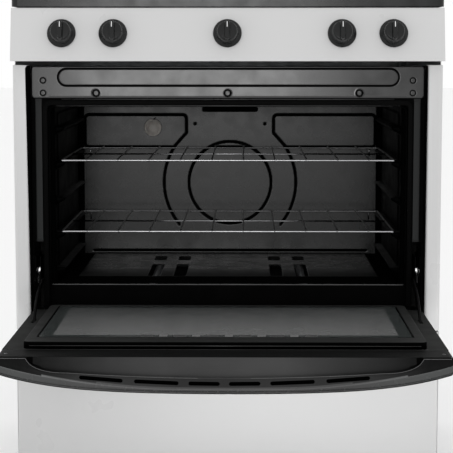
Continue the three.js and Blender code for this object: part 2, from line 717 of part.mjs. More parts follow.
function doorPanels() {
  const { half, y0, y1, z0, z1 } = DOOR;
  const t = SHEET;
  const inset = (d, z) => box([-half + d, half - d], [y1 + d, y0 - d], z);
  const skin = cut(
    inset(0, [z0, z1 - 2 - GAP]),
    inset(t, [z0 - 1, z0 + 4 + GAP]),
    inset(16, [z0 - 1, z1]),
    inset(t, [z0 + 6, z1]),
  );
  const inner = cut(
    inset(0, [z1 - 2, z1]),
    box([-300, 300], [PLUG.y1 + 14, PLUG.y0 - 14], [z1 - 3, z1 + 1]),
    ...[-1, 1].map((side) =>
      box(
        [side * HINGE_SLOT.x0, side * HINGE_SLOT.x1],
        [HINGE_SLOT.y0, HINGE_SLOT.y1],
        [z1 - 3, z1 + 1],
      ),
    ),
  );
  const field = (dx, y, z, r) => prismZ(roundedRect([-PLUG.half + dx, PLUG.half - dx], y, r), z, 3);
  const plug = cut(
    field(0, [PLUG.y1, PLUG.y0], [z1 + GAP, PLUG.z1], PLUG.radius),
    field(3, [PLUG.y1 + 3, PLUG.y0 - 3], [z1 - 1, PLUG.z1 - 7], PLUG.radius - 3),
    field(18, [-318, -15], [PLUG.z1 - 3.6, PLUG.z1 + 1], 6),
    field(27, [-306, -27], [z1 - 1, PLUG.z1 + 1], 4),
  );
  return [
    part('door_outer_skin', skin, finish(0x141414, 0.4, 0)),
    part('door_outer_glass', inset(t + GAP, [z0, z0 + 4]), darkGlass()),
    part('door_inner_panel', inner, greyEnamel()),
    part('door_liner_plug', plug, blackEnamel()),
    part(
      'door_inner_glass',
      field(18.5, [-317.4, -15.6], [PLUG.z1 - 3.2, PLUG.z1 - 0.4], 5),
      finish(0x4a4c4c, 0.15, 0),
    ),
  ];
}

// Lower edge of the bowed handle and of the shallow recess in its end face, below the door's inner level.
const CAP_END = 343;
const bow = (x) => {
  const reach = Math.abs(x) / CAP_END;
  return DOOR.z1 - CAP.drop + (CAP.drop - CAP.endDrop) * (0.35 * reach ** 2 + 0.65 * reach ** 4.5);
};
const ventLine = (x) => DOOR.z1 - CAP.drop + 15.4 + 9 * (x / 216) ** 2;

function bowOutline(half, top, lift, steps) {
  const points = [[half, top], [-half, top]];
  for (let i = 0; i <= steps; i += 1) {
    const x = -half + (2 * half * i) / steps;
    points.push([x, bow(x) + lift]);
  }
  return points;
}

function doorCap() {
  const { half, z0, z1 } = DOOR;
  const body = prismY(polygon(bowOutline(half, z1, 0, 20)), [CAP.y0, CAP.y1]);
  // A shallow recess whose floor slopes from the inner face down to the bowed band with the vents.
  const depths = [[303, 6], [292, 17], [276, 21], [241, 24], [120, 29.8]];
  const crescent = [
    [303, z1 + 1],
    [-303, z1 + 1],
    ...depths.map(([x, depth]) => [-x, z1 - depth]),
    [0, z1 - 32],
    ...depths.map(([x, depth]) => [x, z1 - depth]).reverse(),
  ];
  const recess = prismY(polygon(crescent), [CAP.y1 - 1, CAP.y1 + 6]);
  // Finger space behind the bow, open towards the hinge end.
  const grip = cut(
    prismY(polygon(bowOutline(270, z0 - GAP, 6, 12)), [CAP.y0 + 1, CAP.y0 - 46]),
    box([-400, 400], [CAP.y0, CAP.y1], [z1, z1 - CAP.drop + 30]),
  );
  const vents = [];
  for (const side of [-1, 1]) {
    for (const [x0, x1] of [[7, 55], [70, 138], [155.5, 222]]) {
      const centre = ventLine((x0 + x1) / 2);
      const slot = roundedRect([side * x0, side * x1], [centre - 4, centre + 4], 3.9);
      vents.push(prismY(slot, [CAP.y1 - 1, CAP.y1 + 12]));
    }
  }
  return part('door_handle_cap', cut(body, recess, grip, ...vents), blackPlastic());
}

// A flat curved arm: it leaves the door through the slot and bends back through the frame.
function hingeArm(name, side) {
  const spine = new THREE.QuadraticBezierCurve(
    new THREE.Vector2(-104, 338),
    new THREE.Vector2(-78, 388),
    new THREE.Vector2(30, 404),
  );
  const width = 5;
  const steps = 10;
  const edge = (sign) => Array.from({ length: steps + 1 }, (_, i) => {
    const p = spine.getPoint(i / steps);
    const t = spine.getTangent(i / steps);
    return [p.x - sign * width * t.y, p.y + sign * width * t.x];
  });
  const outline = polygon([...edge(1), ...edge(-1).reverse()]);
  return part(name, prismX(outline, [side * 332, side * 336]), finish(0x2b2b2b, 0.4, 0.8));
}

// ---- assembly ----
const chassis = group(
  sidePanel('side_panel_left', -1),
  sidePanel('side_panel_right', 1),
  baseFrame(),
  ...FEET.map(levellingFoot),
  backPanel(),
  cordGland(),
  ...[-1, 1].map((s) => drawerRail(s < 0 ? 'drawer_rail_left' : 'drawer_rail_right', s)),
);
const oven = group(
  frontFrame(),
  topRail(),
  ovenLiner(),
  ovenBottom(),
  ovenGasket(),
  tubeBurner('bake_burner', 140, 100, 420, 381, 8),
  tubeBurner('broil_burner', 120, 120, 400, 723, 6.5),
  ...ovenFittings(),
  insulation(),
  hingeReceiver('hinge_receiver_left', -1),
  hingeReceiver('hinge_receiver_right', 1),
  rack('rack_upper', UPPER_RACK_Z),
  rack('rack_lower', LOWER_RACK_Z),
);
const controls = group(manifoldPanel(), gasManifold(), ...gasSupply(), ...KNOBS.map(knob));
const top = group(
  cooktop(),
  ...BURNERS.flatMap(burner),
  grate('grate_left', -1),
  grate('grate_right', 1),
  ...backguard(),
);
const door = group(
  ...doorPanels(),
  doorCap(),
  hingeArm('hinge_arm_left', -1),
  hingeArm('hinge_arm_right', 1),
);

const range = group(chassis, oven, controls, top, door, group(...drawer()));
range.position.y = -(CAP.y1 + INLET_END) / 2;

export default range;
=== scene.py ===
"""Looks for the freestanding gas range: detailed pieces, materials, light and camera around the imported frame.

Sizes are written in millimetres and turned into metres by MM. Y is counted from FRONT, the front plane of the
body, and Z from the floor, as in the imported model.
"""
import json
import math

import bmesh
import bpy
import numpy as np
from mathutils import Matrix, Vector

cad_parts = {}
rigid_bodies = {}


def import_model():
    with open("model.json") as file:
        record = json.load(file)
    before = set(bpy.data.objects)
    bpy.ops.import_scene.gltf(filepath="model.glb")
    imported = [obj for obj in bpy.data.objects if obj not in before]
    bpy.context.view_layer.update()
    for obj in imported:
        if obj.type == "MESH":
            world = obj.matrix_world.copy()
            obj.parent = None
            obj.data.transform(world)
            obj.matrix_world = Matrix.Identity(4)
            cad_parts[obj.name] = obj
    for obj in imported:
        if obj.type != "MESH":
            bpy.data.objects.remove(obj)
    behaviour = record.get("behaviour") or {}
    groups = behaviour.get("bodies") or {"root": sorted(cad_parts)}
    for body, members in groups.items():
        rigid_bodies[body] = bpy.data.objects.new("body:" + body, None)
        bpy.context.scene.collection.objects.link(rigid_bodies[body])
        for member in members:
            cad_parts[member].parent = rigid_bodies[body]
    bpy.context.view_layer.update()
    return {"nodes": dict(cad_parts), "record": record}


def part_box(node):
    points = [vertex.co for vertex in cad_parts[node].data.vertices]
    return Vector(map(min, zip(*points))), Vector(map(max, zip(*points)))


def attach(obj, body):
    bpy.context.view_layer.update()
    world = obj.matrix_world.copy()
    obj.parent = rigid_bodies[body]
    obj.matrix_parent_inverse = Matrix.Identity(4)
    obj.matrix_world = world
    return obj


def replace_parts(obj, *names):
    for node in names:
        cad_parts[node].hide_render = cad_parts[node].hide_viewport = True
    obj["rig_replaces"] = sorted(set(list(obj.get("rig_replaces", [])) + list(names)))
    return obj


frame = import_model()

MM = 0.001
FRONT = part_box("side_panel_left")[0].y

NODES = frame["nodes"]
BODY_OF = {n: b for b, ns in frame["record"]["behaviour"]["bodies"].items() for n in ns}
SLOT_OF = {s["node"]: s["material_slot"] for s in frame["record"]["subparts"]}


def at(x, y, z):
    """A point in metres from millimetres, with y counted from the front plane of the body."""
    return Vector((x * MM, FRONT + y * MM, z * MM))


def extent(node):
    """A node's lowest and highest corner in the millimetres that at() takes."""
    low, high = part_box(node)
    shift = Vector((0, FRONT, 0))
    return (low - shift) / MM, (high - shift) / MM


# ---------------------------------------------------------------- materials

class Finish:
    """A node material in the making. Every texture in it lies in object space."""

    def __init__(self, name):
        self.material = bpy.data.materials.new(name)
        self.material.use_nodes = True
        self.tree = self.material.node_tree
        self.coords = self.add("TexCoord", "Object")

    def feed(self, node, inputs):
        """Sets a node's inputs: the output of another node is linked, a plain value is set on the socket."""
        for socket, value in inputs.items():
            if isinstance(value, bpy.types.NodeSocket):
                self.tree.links.new(value, node.inputs[socket])
            else:
                node.inputs[socket].default_value = value

    def add(self, kind, output=0, inputs=None, **settings):
        """Adds a node and gives one of its outputs."""
        node = self.tree.nodes.new("ShaderNode" + kind)
        for key, value in settings.items():
            setattr(node, key, value)
        self.feed(node, inputs or {})
        return node.outputs[output]

    def shade(self, inputs):
        """Sets the shader's inputs and gives the finished material."""
        self.feed(self.tree.nodes["Principled BSDF"], inputs)
        return self.material

    def noise(self, scale, detail=3.0, coords=None):
        place = self.coords if coords is None else coords
        return self.add("TexNoise", "Fac", {"Scale": scale, "Detail": detail, "Vector": place})

    def remap(self, value, low, high, from_low=0.3, from_high=0.7):
        return self.add("MapRange", "Result", {"Value": value, "From Min": from_low, "From Max": from_high,
                                               "To Min": low, "To Max": high})

    def mix(self, factor, first, second):
        """A blend of two colours, each one an (r, g, b) or the output of another node."""
        first, second = (c if isinstance(c, bpy.types.NodeSocket) else (*c, 1) for c in (first, second))
        return self.add("Mix", "Result", {"Factor": factor, "A": first, "B": second}, data_type="RGBA")

    def bump(self, height, distance):
        return self.add("Bump", "Normal", {"Strength": 1.0, "Distance": distance, "Height": height})

    def calc(self, operation, *values):
        return self.add("Math", 0, dict(enumerate(values)), operation=operation)

    def axis(self, name):
        return self.add("SeparateXYZ", name, {"Vector": self.coords})


def surface(name, colour, roughness, metallic=0.0, vary=0.08, vary_scale=5.0, rough_vary=0.05,
            grain=500.0, grain_height=0.00002, specular=0.5, coat=0.0, over=None):
    """A finish with cloudy colour, uneven gloss and fine grain. over() may change it from place to place."""
    finish = Finish(name)
    dark = [c * (1 - vary) for c in colour]
    light = [min(1.0, c * (1 + vary)) for c in colour]
    base = finish.mix(finish.remap(finish.noise(vary_scale), 0, 1), dark, light)
    smudge = finish.noise(vary_scale * 7)
    gloss = finish.remap(smudge, max(0.02, roughness - rough_vary), roughness + rough_vary)
    if over:
        base, gloss = over(finish, base, gloss)
    return finish.shade({
        "Base Color": base, "Roughness": gloss, "Normal": finish.bump(finish.noise(grain, 2.0), grain_height),
        "Metallic": metallic, "Specular IOR Level": specular, "Coat Weight": coat, "Coat Roughness": 0.05,
    })


def painted_shade_enamel(name, colour, roughness, specular=0.5):
    """Oven enamel: values stored on the surface darken and dull the stamped grooves and corners, painted shade
    that stands in for the shade falling in them.
    """
    def shade_paint(finish, base, gloss):
        painted_shade = finish.add("Attribute", "Fac", attribute_name="painted_shade")
        return (finish.mix(painted_shade, base, (0.0008, 0.0008, 0.0008)),
                finish.add("Mix", "Result", {"Factor": painted_shade, "A": gloss, "B": 0.9}))

    return surface(name, colour, roughness, vary=0.12, vary_scale=4, grain=260, grain_height=0.000006,
                   specular=specular, over=shade_paint)


def ribbed_enamel():
    """Dull black frame enamel, painted a lighter grey on the two upright ribs beside the oven mouth: a painted
    reflection of the light on them.
    """
    def painted_rib_sheen(finish, base, gloss):
        side = finish.calc("ABSOLUTE", finish.axis("X"))
        inner = finish.remap(side, 0, 1, 0.3312, 0.3318)
        outer = finish.remap(side, 1, 0, 0.3426, 0.3434)
        top = finish.remap(finish.axis("Z"), 1, 0, 0.7300, 0.7306)
        rib = finish.calc("MULTIPLY", finish.calc("MULTIPLY", inner, outer), top)
        return finish.mix(rib, base, (0.032, 0.033, 0.033)), gloss

    return surface("frame_enamel", (0.0006,) * 3, 0.5, vary=0.15, grain=300, specular=0.02, over=painted_rib_sheen)


def painted_light_plastic(name, middle, ends, inner, outer, roughness, specular=0.08):
    """Satin plastic whose colour changes from one value in the middle of the door to another at its two ends,
    painted light that stands in for how the light falls along it.
    """
    def painted_middle_light(finish, base, gloss):
        side = finish.remap(finish.calc("ABSOLUTE", finish.axis("X")), 0, 1, inner, outer)
        return finish.mix(side, base, (ends, ends * 1.04, ends * 1.03)), gloss

    return surface(name, (middle,) * 3, roughness, vary=0.12, vary_scale=9, grain=900, grain_height=0.00001,
                   specular=specular, over=painted_middle_light)


def window_glass():
    """Inner door glass: a darker printed border round a lighter field, which is painted lighter toward the
    handle end of the door as a painted reflection.
    """
    finish = Finish("inner_glass")
    across, along = finish.axis("X"), finish.axis("Y")
    soft = 0.0006

    def inside(value, centre, half):
        offset = finish.calc("ABSOLUTE", finish.calc("SUBTRACT", value, centre))
        return finish.remap(offset, 1, 0, half - soft, half + soft)

    front, rear = at(0, WINDOW["y0"], 0).y, at(0, WINDOW["y1"], 0).y
    clear = finish.calc("MULTIPLY", inside(across, 0.0, WINDOW["half"] * MM),
                        inside(along, (front + rear) / 2, abs(rear - front) / 2))
    # Painted reflection: the field grows lighter toward the handle end of the door.
    painted_reflection_ramp = finish.remap(along, 0, 1, front + 0.02, rear)
    cloud = finish.calc("MULTIPLY_ADD", finish.noise(3.0), 0.25, painted_reflection_ramp)
    field = finish.mix(cloud, (0.067, 0.071, 0.070), (0.156, 0.158, 0.157))
    return finish.shade({"Base Color": finish.mix(clear, (0.038, 0.043, 0.042), field),
                         "Roughness": finish.remap(finish.noise(24.0), 0.16, 0.26)})


def brushed(name, colour, roughness):
    """Metal with fine lines along one axis."""
    finish = Finish(name)
    stretch = finish.add("Mapping", "Vector", {"Vector": finish.coords, "Scale": (1, 40, 40)})
    lines = finish.noise(40.0, 4.0, stretch)
    return finish.shade({
        "Base Color": finish.mix(lines, [c * 0.85 for c in colour], colour),
        "Roughness": finish.remap(lines, roughness - 0.08, roughness + 0.08),
        "Normal": finish.bump(lines, 0.00001), "Metallic": 1.0,
    })


def galvanised():
    """Zinc coated sheet with its patchwork of crystals."""
    finish = Finish("galvanised_steel")
    cells = finish.add("TexVoronoi", "Color", {"Scale": 90.0, "Vector": finish.coords})
    tone, gloss = (finish.add("SeparateColor", channel, {"Color": cells}) for channel in ("Red", "Green"))
    return finish.shade({"Base Color": finish.mix(tone, (0.42, 0.43, 0.44), (0.49, 0.50, 0.51)),
                         "Roughness": finish.remap(gloss, 0.38, 0.55, 0, 1), "Metallic": 1.0})


def braided():
    """Woven black glass-fibre rope."""
    finish = Finish("gasket_fibre")
    weave = finish.add("TexWave", "Fac", {"Scale": 160.0, "Distortion": 1.5, "Vector": finish.coords},
                       wave_type="BANDS", bands_direction="DIAGONAL")
    return finish.shade({"Base Color": finish.mix(weave, (0.001,) * 3, (0.005,) * 3), "Roughness": 0.9,
                         "Normal": finish.bump(weave, 0.0004), "Specular IOR Level": 0.04})


WINDOW = {"half": 277, "y0": -34, "y1": -299}

PLAIN_FINISHES = {  # name: colour, roughness, what differs from surface()'s own values
    "white_enamel": ((0.58,) * 3, 0.28,
                     dict(vary=0.004, vary_scale=1.5, rough_vary=0.008, grain=600, grain_height=0.000001)),
    "black_enamel": ((0.004, 0.0043, 0.0042), 0.2, dict(vary=0.15, grain=300, specular=0.35)),
    "grey_enamel": ((0.010, 0.0105, 0.0103), 0.3, dict(vary=0.06, grain=420)),
    "door_enamel": ((0.017, 0.0175, 0.017), 0.7, dict(vary=0.1, grain=420, specular=0.05)),
    "black_plastic": ((0.005, 0.0055, 0.0055), 0.27,
                      dict(vary=0.1, grain=900, grain_height=0.00003, specular=0.28)),
    "cast_iron": ((0.012,) * 3, 0.62, dict(vary=0.3, vary_scale=20, grain=1400, grain_height=0.00018)),
    "cap_enamel": ((0.012,) * 3, 0.4, dict(vary=0.2, grain=900, grain_height=0.00006)),
    "chrome_wire": ((0.42, 0.42, 0.43), 0.22,
                    dict(metallic=1.0, vary=0.05, vary_scale=30, grain=200, grain_height=0.00001)),
    "burner_aluminium": ((0.55, 0.55, 0.56), 0.42,
                         dict(metallic=1.0, vary=0.08, vary_scale=40, grain=1200, grain_height=0.00008)),
    "dark_glass": ((0.004, 0.004, 0.005), 0.07,
                   dict(vary=0.1, rough_vary=0.02, grain=20, grain_height=0.00001, coat=0.5)),
    "lamp_glass": ((0.46, 0.43, 0.40), 0.25, dict(vary=0.2, vary_scale=90, grain=500, grain_height=0.0003)),
    "lamp_ceramic": ((0.7, 0.67, 0.6), 0.55, dict(vary=0.05)),
    "insulation_fibre": ((0.02, 0.019, 0.018), 0.95,
                         dict(vary=0.25, vary_scale=30, grain=800, grain_height=0.0008)),
}
FINISH = {name: surface(name, colour, roughness, **extra)
          for name, (colour, roughness, extra) in PLAIN_FINISHES.items()}
FINISH["galvanised_steel"] = galvanised()
FINISH["hinge_steel"] = brushed("hinge_steel", (0.008,) * 3, 0.5)
FINISH["inner_glass"] = window_glass()
FINISH["gasket_fibre"] = braided()

OVEN_ENAMEL = painted_shade_enamel("oven_enamel", (0.0032, 0.0038, 0.0036), 0.27, 0.44)
OVEN_SIDE = painted_shade_enamel("oven_side_enamel", (0.0005, 0.0006, 0.0006), 0.4, specular=0.02)
RAIL_ENAMEL = painted_shade_enamel("rail_enamel", (0.003,) * 3, 0.19, specular=0.58)
FRAME_ENAMEL = ribbed_enamel()
DULL_BLACK = surface("dull_black", (0.0006,) * 3, 0.8, vary=0.2, grain=700, specular=0.02)
GLOSS_PLASTIC = surface("gloss_plastic", (0.008,) * 3, 0.16, vary=0.1, grain=900, grain_height=0.00001)
# Painted highlight and painted sheen: the light grey and the grey-black below are put on thin edges and lines
# to stand in for the light they catch.
HIGHLIGHT_GREY = surface("painted_highlight_grey", (0.06,) * 3, 0.3, vary=0.3, vary_scale=12)
SHEEN_BLACK = surface("painted_sheen_black", (0.012,) * 3, 0.3, vary=0.3, vary_scale=12)
CLIP_DARK = surface("clip_dark", (0.055,) * 3, 0.4, vary=0.2, vary_scale=30)
CLIP_LIGHT = surface("clip_light", (0.16,) * 3, 0.4, vary=0.2, vary_scale=30)
# Painted light on the door: the liner's top is a lighter grey than its black sides, and the cap's recess, band
# and bead take plastics whose colour changes from the middle of the door to its ends, painted reflection and
# painted highlight.
LINER_TOP = surface("liner_top", (0.019, 0.0195, 0.019), 0.6, vary=0.1, vary_scale=6, specular=0.06)
RECESS_PLASTIC = painted_light_plastic("recess_plastic", 0.046, 0.0035, 0.09, 0.285, 0.5)
BAND_PLASTIC = painted_light_plastic("band_plastic", 0.024, 0.002, 0.22, 0.312, 0.5)
BEAD_PLASTIC = painted_light_plastic("bead_plastic", 0.05, 0.055, 0.2, 0.31, 0.25, 0.3)
CAP_TOP = surface("cap_top", (0.0035, 0.0037, 0.0036), 0.6, vary=0.15, specular=0.05)
DARK_WIRE = surface("dark_wire", (0.13, 0.13, 0.132), 0.3, metallic=1.0, vary=0.15, vary_scale=30)
SCREW_STEEL = surface("screw_steel", (0.09,) * 3, 0.35, metallic=0.9, vary=0.1, vary_scale=200)
BRIGHT_STEEL = surface("bright_steel", (0.85,) * 3, 0.14, metallic=1.0, vary=0.05, vary_scale=200)
INK_WHITE = surface("ink_white", (0.7,) * 3, 0.5, vary=0.02, vary_scale=100)


# ---------------------------------------------------------------- mesh helpers

BOX_FACES = [(0, 1, 3, 2), (4, 6, 7, 5), (0, 4, 5, 1), (2, 3, 7, 6), (0, 2, 6, 4), (1, 5, 7, 3)]


def add_object(name, data):
    obj = bpy.data.objects.new(name, data)
    bpy.context.scene.collection.objects.link(obj)
    return obj


def mesh_object(name, vertices, faces, material, smooth=True):
    mesh = bpy.data.meshes.new(name)
    mesh.from_pydata([tuple(v) for v in vertices], [], faces)
    shell = bmesh.new()
    shell.from_mesh(mesh)
    bmesh.ops.recalc_face_normals(shell, faces=shell.faces)
    shell.to_mesh(mesh)
    shell.free()
    mesh.materials.append(material)
    mesh.polygons.foreach_set("use_smooth", [smooth] * len(mesh.polygons))
    return add_object(name, mesh)


def grid_faces(columns, rows):
    """The faces between points that are listed row by row."""
    starts = [j * columns + i for j in range(rows - 1) for i in range(columns - 1)]
    return [(a, a + 1, a + columns + 1, a + columns) for a in starts]


def solid(name, rings, material, loop=False, smooth=True):
    """A skin over rings that all have the same number of points, closed at both ends or into a loop."""
    n, count = len(rings[0]), len(rings)
    faces = []
    for i in range(count if loop else count - 1):
        a, b = i * n, ((i + 1) % count) * n
        faces += [(a + k, a + (k + 1) % n, b + (k + 1) % n, b + k) for k in range(n)]
    if not loop:
        faces += [tuple(range(n - 1, -1, -1)), tuple(range((count - 1) * n, count * n))]
    return mesh_object(name, [p for r in rings for p in r], faces, material, smooth)


def weighted(obj, weight=80):
    """Shades smooth bends and flat faces as they are."""
    normals = obj.modifiers.new("normals", "WEIGHTED_NORMAL")
    normals.keep_sharp = False
    normals.weight = weight
    return obj


def loft(name, rings, material, loop=False):
    """A solid whose flat faces are shaded flat."""
    return weighted(solid(name, rings, material, loop))


def bevelled(obj, width, segments, angle):
    """Rounds the edges that are sharper than an angle in degrees."""
    bevel = obj.modifiers.new("bevel", "BEVEL")
    bevel.width = width * MM
    bevel.segments = segments
    bevel.limit_method = "ANGLE"
    bevel.angle_limit = math.radians(angle)
    return bevel


def round_edges(obj, width, segments, merge):
    """Rounds the hard edges of a carried-over node and keeps its flat faces flat."""
    weld = obj.modifiers.new("weld", "WELD")
    weld.merge_threshold = 0.00001
    if merge:
        flat = obj.modifiers.new("flat", "DECIMATE")
        flat.decimate_type = "DISSOLVE"
        flat.angle_limit = math.radians(0.5)
    bevelled(obj, width, segments, 32).miter_outer = "MITER_ARC"
    weighted(obj)
    obj.data.polygons.foreach_set("use_smooth", [True] * len(obj.data.polygons))


def settle_modifiers(obj):
    """Turns an object's modifiers into its mesh."""
    depsgraph = bpy.context.evaluated_depsgraph_get()
    mesh = bpy.data.meshes.new_from_object(obj.evaluated_get(depsgraph))
    obj.modifiers.clear()
    obj.data = mesh
    return obj


def cut_away(obj, cutters):
    for cutter in cutters:
        boolean = obj.modifiers.new("cut", "BOOLEAN")
        boolean.operation = "DIFFERENCE"
        boolean.solver = "EXACT"
        boolean.material_mode = "TRANSFER"
        boolean.object = cutter
    settle_modifiers(obj)
    for cutter in cutters:
        bpy.data.objects.remove(cutter)
    return obj


def put(obj, node, *replaced):
    """Makes a piece ride with a node's body and stand for the nodes it replaces."""
    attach(obj, BODY_OF[node])
    if replaced:
        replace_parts(obj, *replaced)
    return obj


def join_objects(name, objects):
    """One mesh object out of several, each keeping its own material."""
    materials = []
    whole = bmesh.new()
    for obj in objects:
        part = bmesh.new()
        part.from_mesh(obj.data)
        part.transform(obj.matrix_world)
        offset = []
        for material in obj.data.materials:
            if material not in materials:
                materials.append(material)
            offset.append(materials.index(material))
        for face in part.faces:
            face.material_index = offset[face.material_index]
        mesh = bpy.data.meshes.new("part")
        part.to_mesh(mesh)
        part.free()
        whole.from_mesh(mesh)
        bpy.data.meshes.remove(mesh)
        bpy.data.objects.remove(obj)
    mesh = bpy.data.meshes.new(name)
    whole.to_mesh(mesh)
    whole.free()
    for material in materials:
        mesh.materials.append(material)
    return add_object(name, mesh)


def directed(points, closed=False):
    """Each point of a path with the direction of the path there."""
    count = len(points)
    for i, point in enumerate(points):
        before = points[i - 1] if closed or i else points[0]
        after = points[(i + 1) % count] if closed or i < count - 1 else points[-1]
        yield point, (after - before).normalized()


def circle(centre, radius, across, other, sides):
    angles = [2 * math.pi * k / sides for k in range(sides)]
    return [centre + radius * MM * (math.cos(a) * across + math.sin(a) * other) for a in angles]


def half_turn(x, y, radius, start):
    """Points round half a circle, from a start angle in degrees."""
    angles = [math.radians(start) + math.pi * k / 8 for k in range(9)]
    return [(x + radius * math.cos(a), y + radius * math.sin(a)) for a in angles]


def tube(name, path, radius, material, closed=False, sides=12):
    """A round wire of a radius in millimetres along a list of points."""
    rings, normal = [], None
    for point, tangent in directed([Vector(p) for p in path], closed):
        if normal is None:
            normal = tangent.orthogonal().normalized()
        normal = (normal - tangent * normal.dot(tangent)).normalized()
        rings.append(circle(point, radius, normal, tangent.cross(normal), sides))
    return solid(name, rings, material, closed)


def rounded_path(corners, radius, closed=False, per_corner=6):
    """Points along straight runs with each corner turned into an arc-like bend."""
    points = [Vector(c) for c in corners]
    out = []
    for i, corner in enumerate(points):
        if not closed and i in (0, len(points) - 1):
            out.append(corner)
            continue
        before = corner + (points[i - 1] - corner).normalized() * radius
        after = corner + (points[(i + 1) % len(points)] - corner).normalized() * radius
        for k in range(per_corner + 1):
            t = k / per_corner
            out.append((1 - t) ** 2 * before + 2 * t * (1 - t) * corner + t * t * after)
    return out


def turned(name, profile, origin, axis, material, sides=48):
    """A turned piece. Its profile is (radius, height) pairs in millimetres, measured from the origin."""
    axis = Vector(axis).normalized()
    across = axis.orthogonal().normalized()
    other = axis.cross(across)
    vertices, faces, rings = [], [], []
    for radius, height in profile:
        centre = Vector(origin) + axis * (height * MM)
        if not radius:
            rings.append([len(vertices)])
            vertices.append(centre)
            continue
        rings.append(list(range(len(vertices), len(vertices) + sides)))
        vertices += circle(centre, radius, across, other, sides)
    for a, b in zip(rings, rings[1:]):
        for k in range(sides):
            n = (k + 1) % sides
            if len(a) == 1:
                faces.append((a[0], b[k], b[n]))
            elif len(b) == 1:
                faces.append((a[k], b[0], a[n]))
            else:
                faces.append((a[k], b[k], b[n], a[n]))
    return mesh_object(name, vertices, faces, material)


def ring(half, ys, z, radius, centre_x=0.0, corner=6):
    """Points round a level rounded rectangle."""
    y0, y1 = sorted(ys)
    x0, x1 = centre_x - half + radius, centre_x + half - radius
    y0, y1 = y0 + radius, y1 - radius
    points = []
    for x, y, start in ((x1, y0, -90), (x1, y1, 0), (x0, y1, 90), (x0, y0, 180)):
        for k in range(corner + 1):
            turn = math.radians(start + 90 * k / corner)
            points.append(at(x + radius * math.cos(turn), y + radius * math.sin(turn), z))
    return points


def smooth_step(value, low, high):
    t = np.clip((value - low) / (high - low), 0, 1)
    return t * t * (3 - 2 * t)


def relief(name, us, vs, place, height, material, painted_shade, thickness=1.0):
    """A stamped sheet. place(u, v, h) gives the point at a spot and height on the sheet, in millimetres."""
    u, v = np.meshgrid(us, vs)
    h = height(u, v)
    mesh = bpy.data.meshes.new(name)
    points = [tuple(place(*p)) for p in zip(u.ravel(), v.ravel(), h.ravel())]
    mesh.from_pydata(points, [], grid_faces(len(us), len(vs)))
    mesh.materials.append(material)
    mesh.materials.append(DULL_BLACK)
    mesh.polygons.foreach_set("use_smooth", [True] * len(mesh.polygons))
    # Painted shade: the function given for the grooves tells how much shade to paint at each spot; faces past
    # 0.45 take dull black, and the values are stored on the surface for the enamel to darken by.
    dark = painted_shade(u, v)
    middle = (dark[:-1, :-1] + dark[1:, :-1] + dark[:-1, 1:] + dark[1:, 1:]) / 4
    mesh.polygons.foreach_set("material_index", (middle > 0.45).ravel().astype(np.int32))
    layer = mesh.attributes.new("painted_shade", "FLOAT", "POINT")
    layer.data.foreach_set("value", dark.ravel().astype(np.float32))
    obj = add_object(name, mesh)
    if thickness:
        solidify = obj.modifiers.new("sheet", "SOLIDIFY")
        solidify.thickness = thickness * MM
        solidify.offset = -1
        settle_modifiers(obj)
    return obj


def second_finish(obj, material, chosen):
    """Give the faces whose centre passes the test (x, y, z in millimetres) another finish."""
    obj.data.materials.append(material)
    slot = len(obj.data.materials) - 1
    for face in obj.data.polygons:
        c = face.center
        if chosen(c.x / MM, (c.y - FRONT) / MM, c.z / MM):
            face.material_index = slot
    return obj


def steps(low, high, size):
    return np.linspace(low, high, max(2, int(round((high - low) / size)) + 1))


# ---------------------------------------------------------------- oven

RINGS = {"z": 543, "inner": 85, "outer": 136.5}
FIELD = {"outer": 300, "inner": 90, "low": 116, "top": 683.6, "knee": 646, "bottom": 616.5}
RACK_LEVELS = (426, 490.5, 554.8, 619, 683)


def rounded_box_distance(u, v, centre, half, radius):
    """Signed distance to a rounded rectangle, negative inside."""
    qu = np.abs(u - centre[0]) - (half[0] - radius)
    qv = np.abs(v - centre[1]) - (half[1] - radius)
    outside = np.hypot(np.maximum(qu, 0), np.maximum(qv, 0))
    return outside + np.minimum(np.maximum(qu, qv), 0) - radius


def field_distance(x, z):
    """Signed distance to the upper fields of the back wall, whose inner corners are cut off at an angle."""
    side = np.abs(x)
    middle = (FIELD["inner"] + FIELD["outer"]) / 2
    half = ((FIELD["outer"] - FIELD["inner"]) / 2, (FIELD["top"] - FIELD["bottom"]) / 2)
    box = rounded_box_distance(side, z, (middle, (FIELD["top"] + FIELD["bottom"]) / 2), half, 8)
    run, rise = FIELD["low"] - FIELD["inner"], FIELD["knee"] - FIELD["bottom"]
    length = math.hypot(run, rise)
    corner = -((side - FIELD["inner"]) * rise + (z - FIELD["knee"]) * run) / length
    return np.maximum(box, corner)


def back_wall_lines(x, z):
    """How close a point is to the middle of a stamped groove: 1 in the groove, 0 away from it."""
    radius = np.hypot(x, z - RINGS["z"])
    inner = np.abs(radius - RINGS["inner"])
    outer = np.where(field_distance(x, z) > 0, np.abs(radius - RINGS["outer"]), 99)
    outer = np.where((np.abs(x) > 104) & (z < FIELD["bottom"] + 1), outer, 99)
    chord = np.where(radius < RINGS["inner"], np.abs(z - FIELD["bottom"]), 99)
    nearest = np.minimum(np.minimum(inner, outer), np.minimum(np.abs(field_distance(x, z)), chord))
    for hole_x in (-72, 72):
        nearest = np.minimum(nearest, np.hypot(x - hole_x, z - 665) - 0.5)
    nearest = np.minimum(nearest, np.where(np.abs(x) < 285, np.abs(z - 401.5), 99))
    slot = rounded_box_distance(x, z, (0, 695), (56, 4), 3.9)
    lines = 1 - smooth_step(nearest, 0.7, 2.2)
    return np.maximum(lines, 1 - smooth_step(slot, -0.5, 1.0))


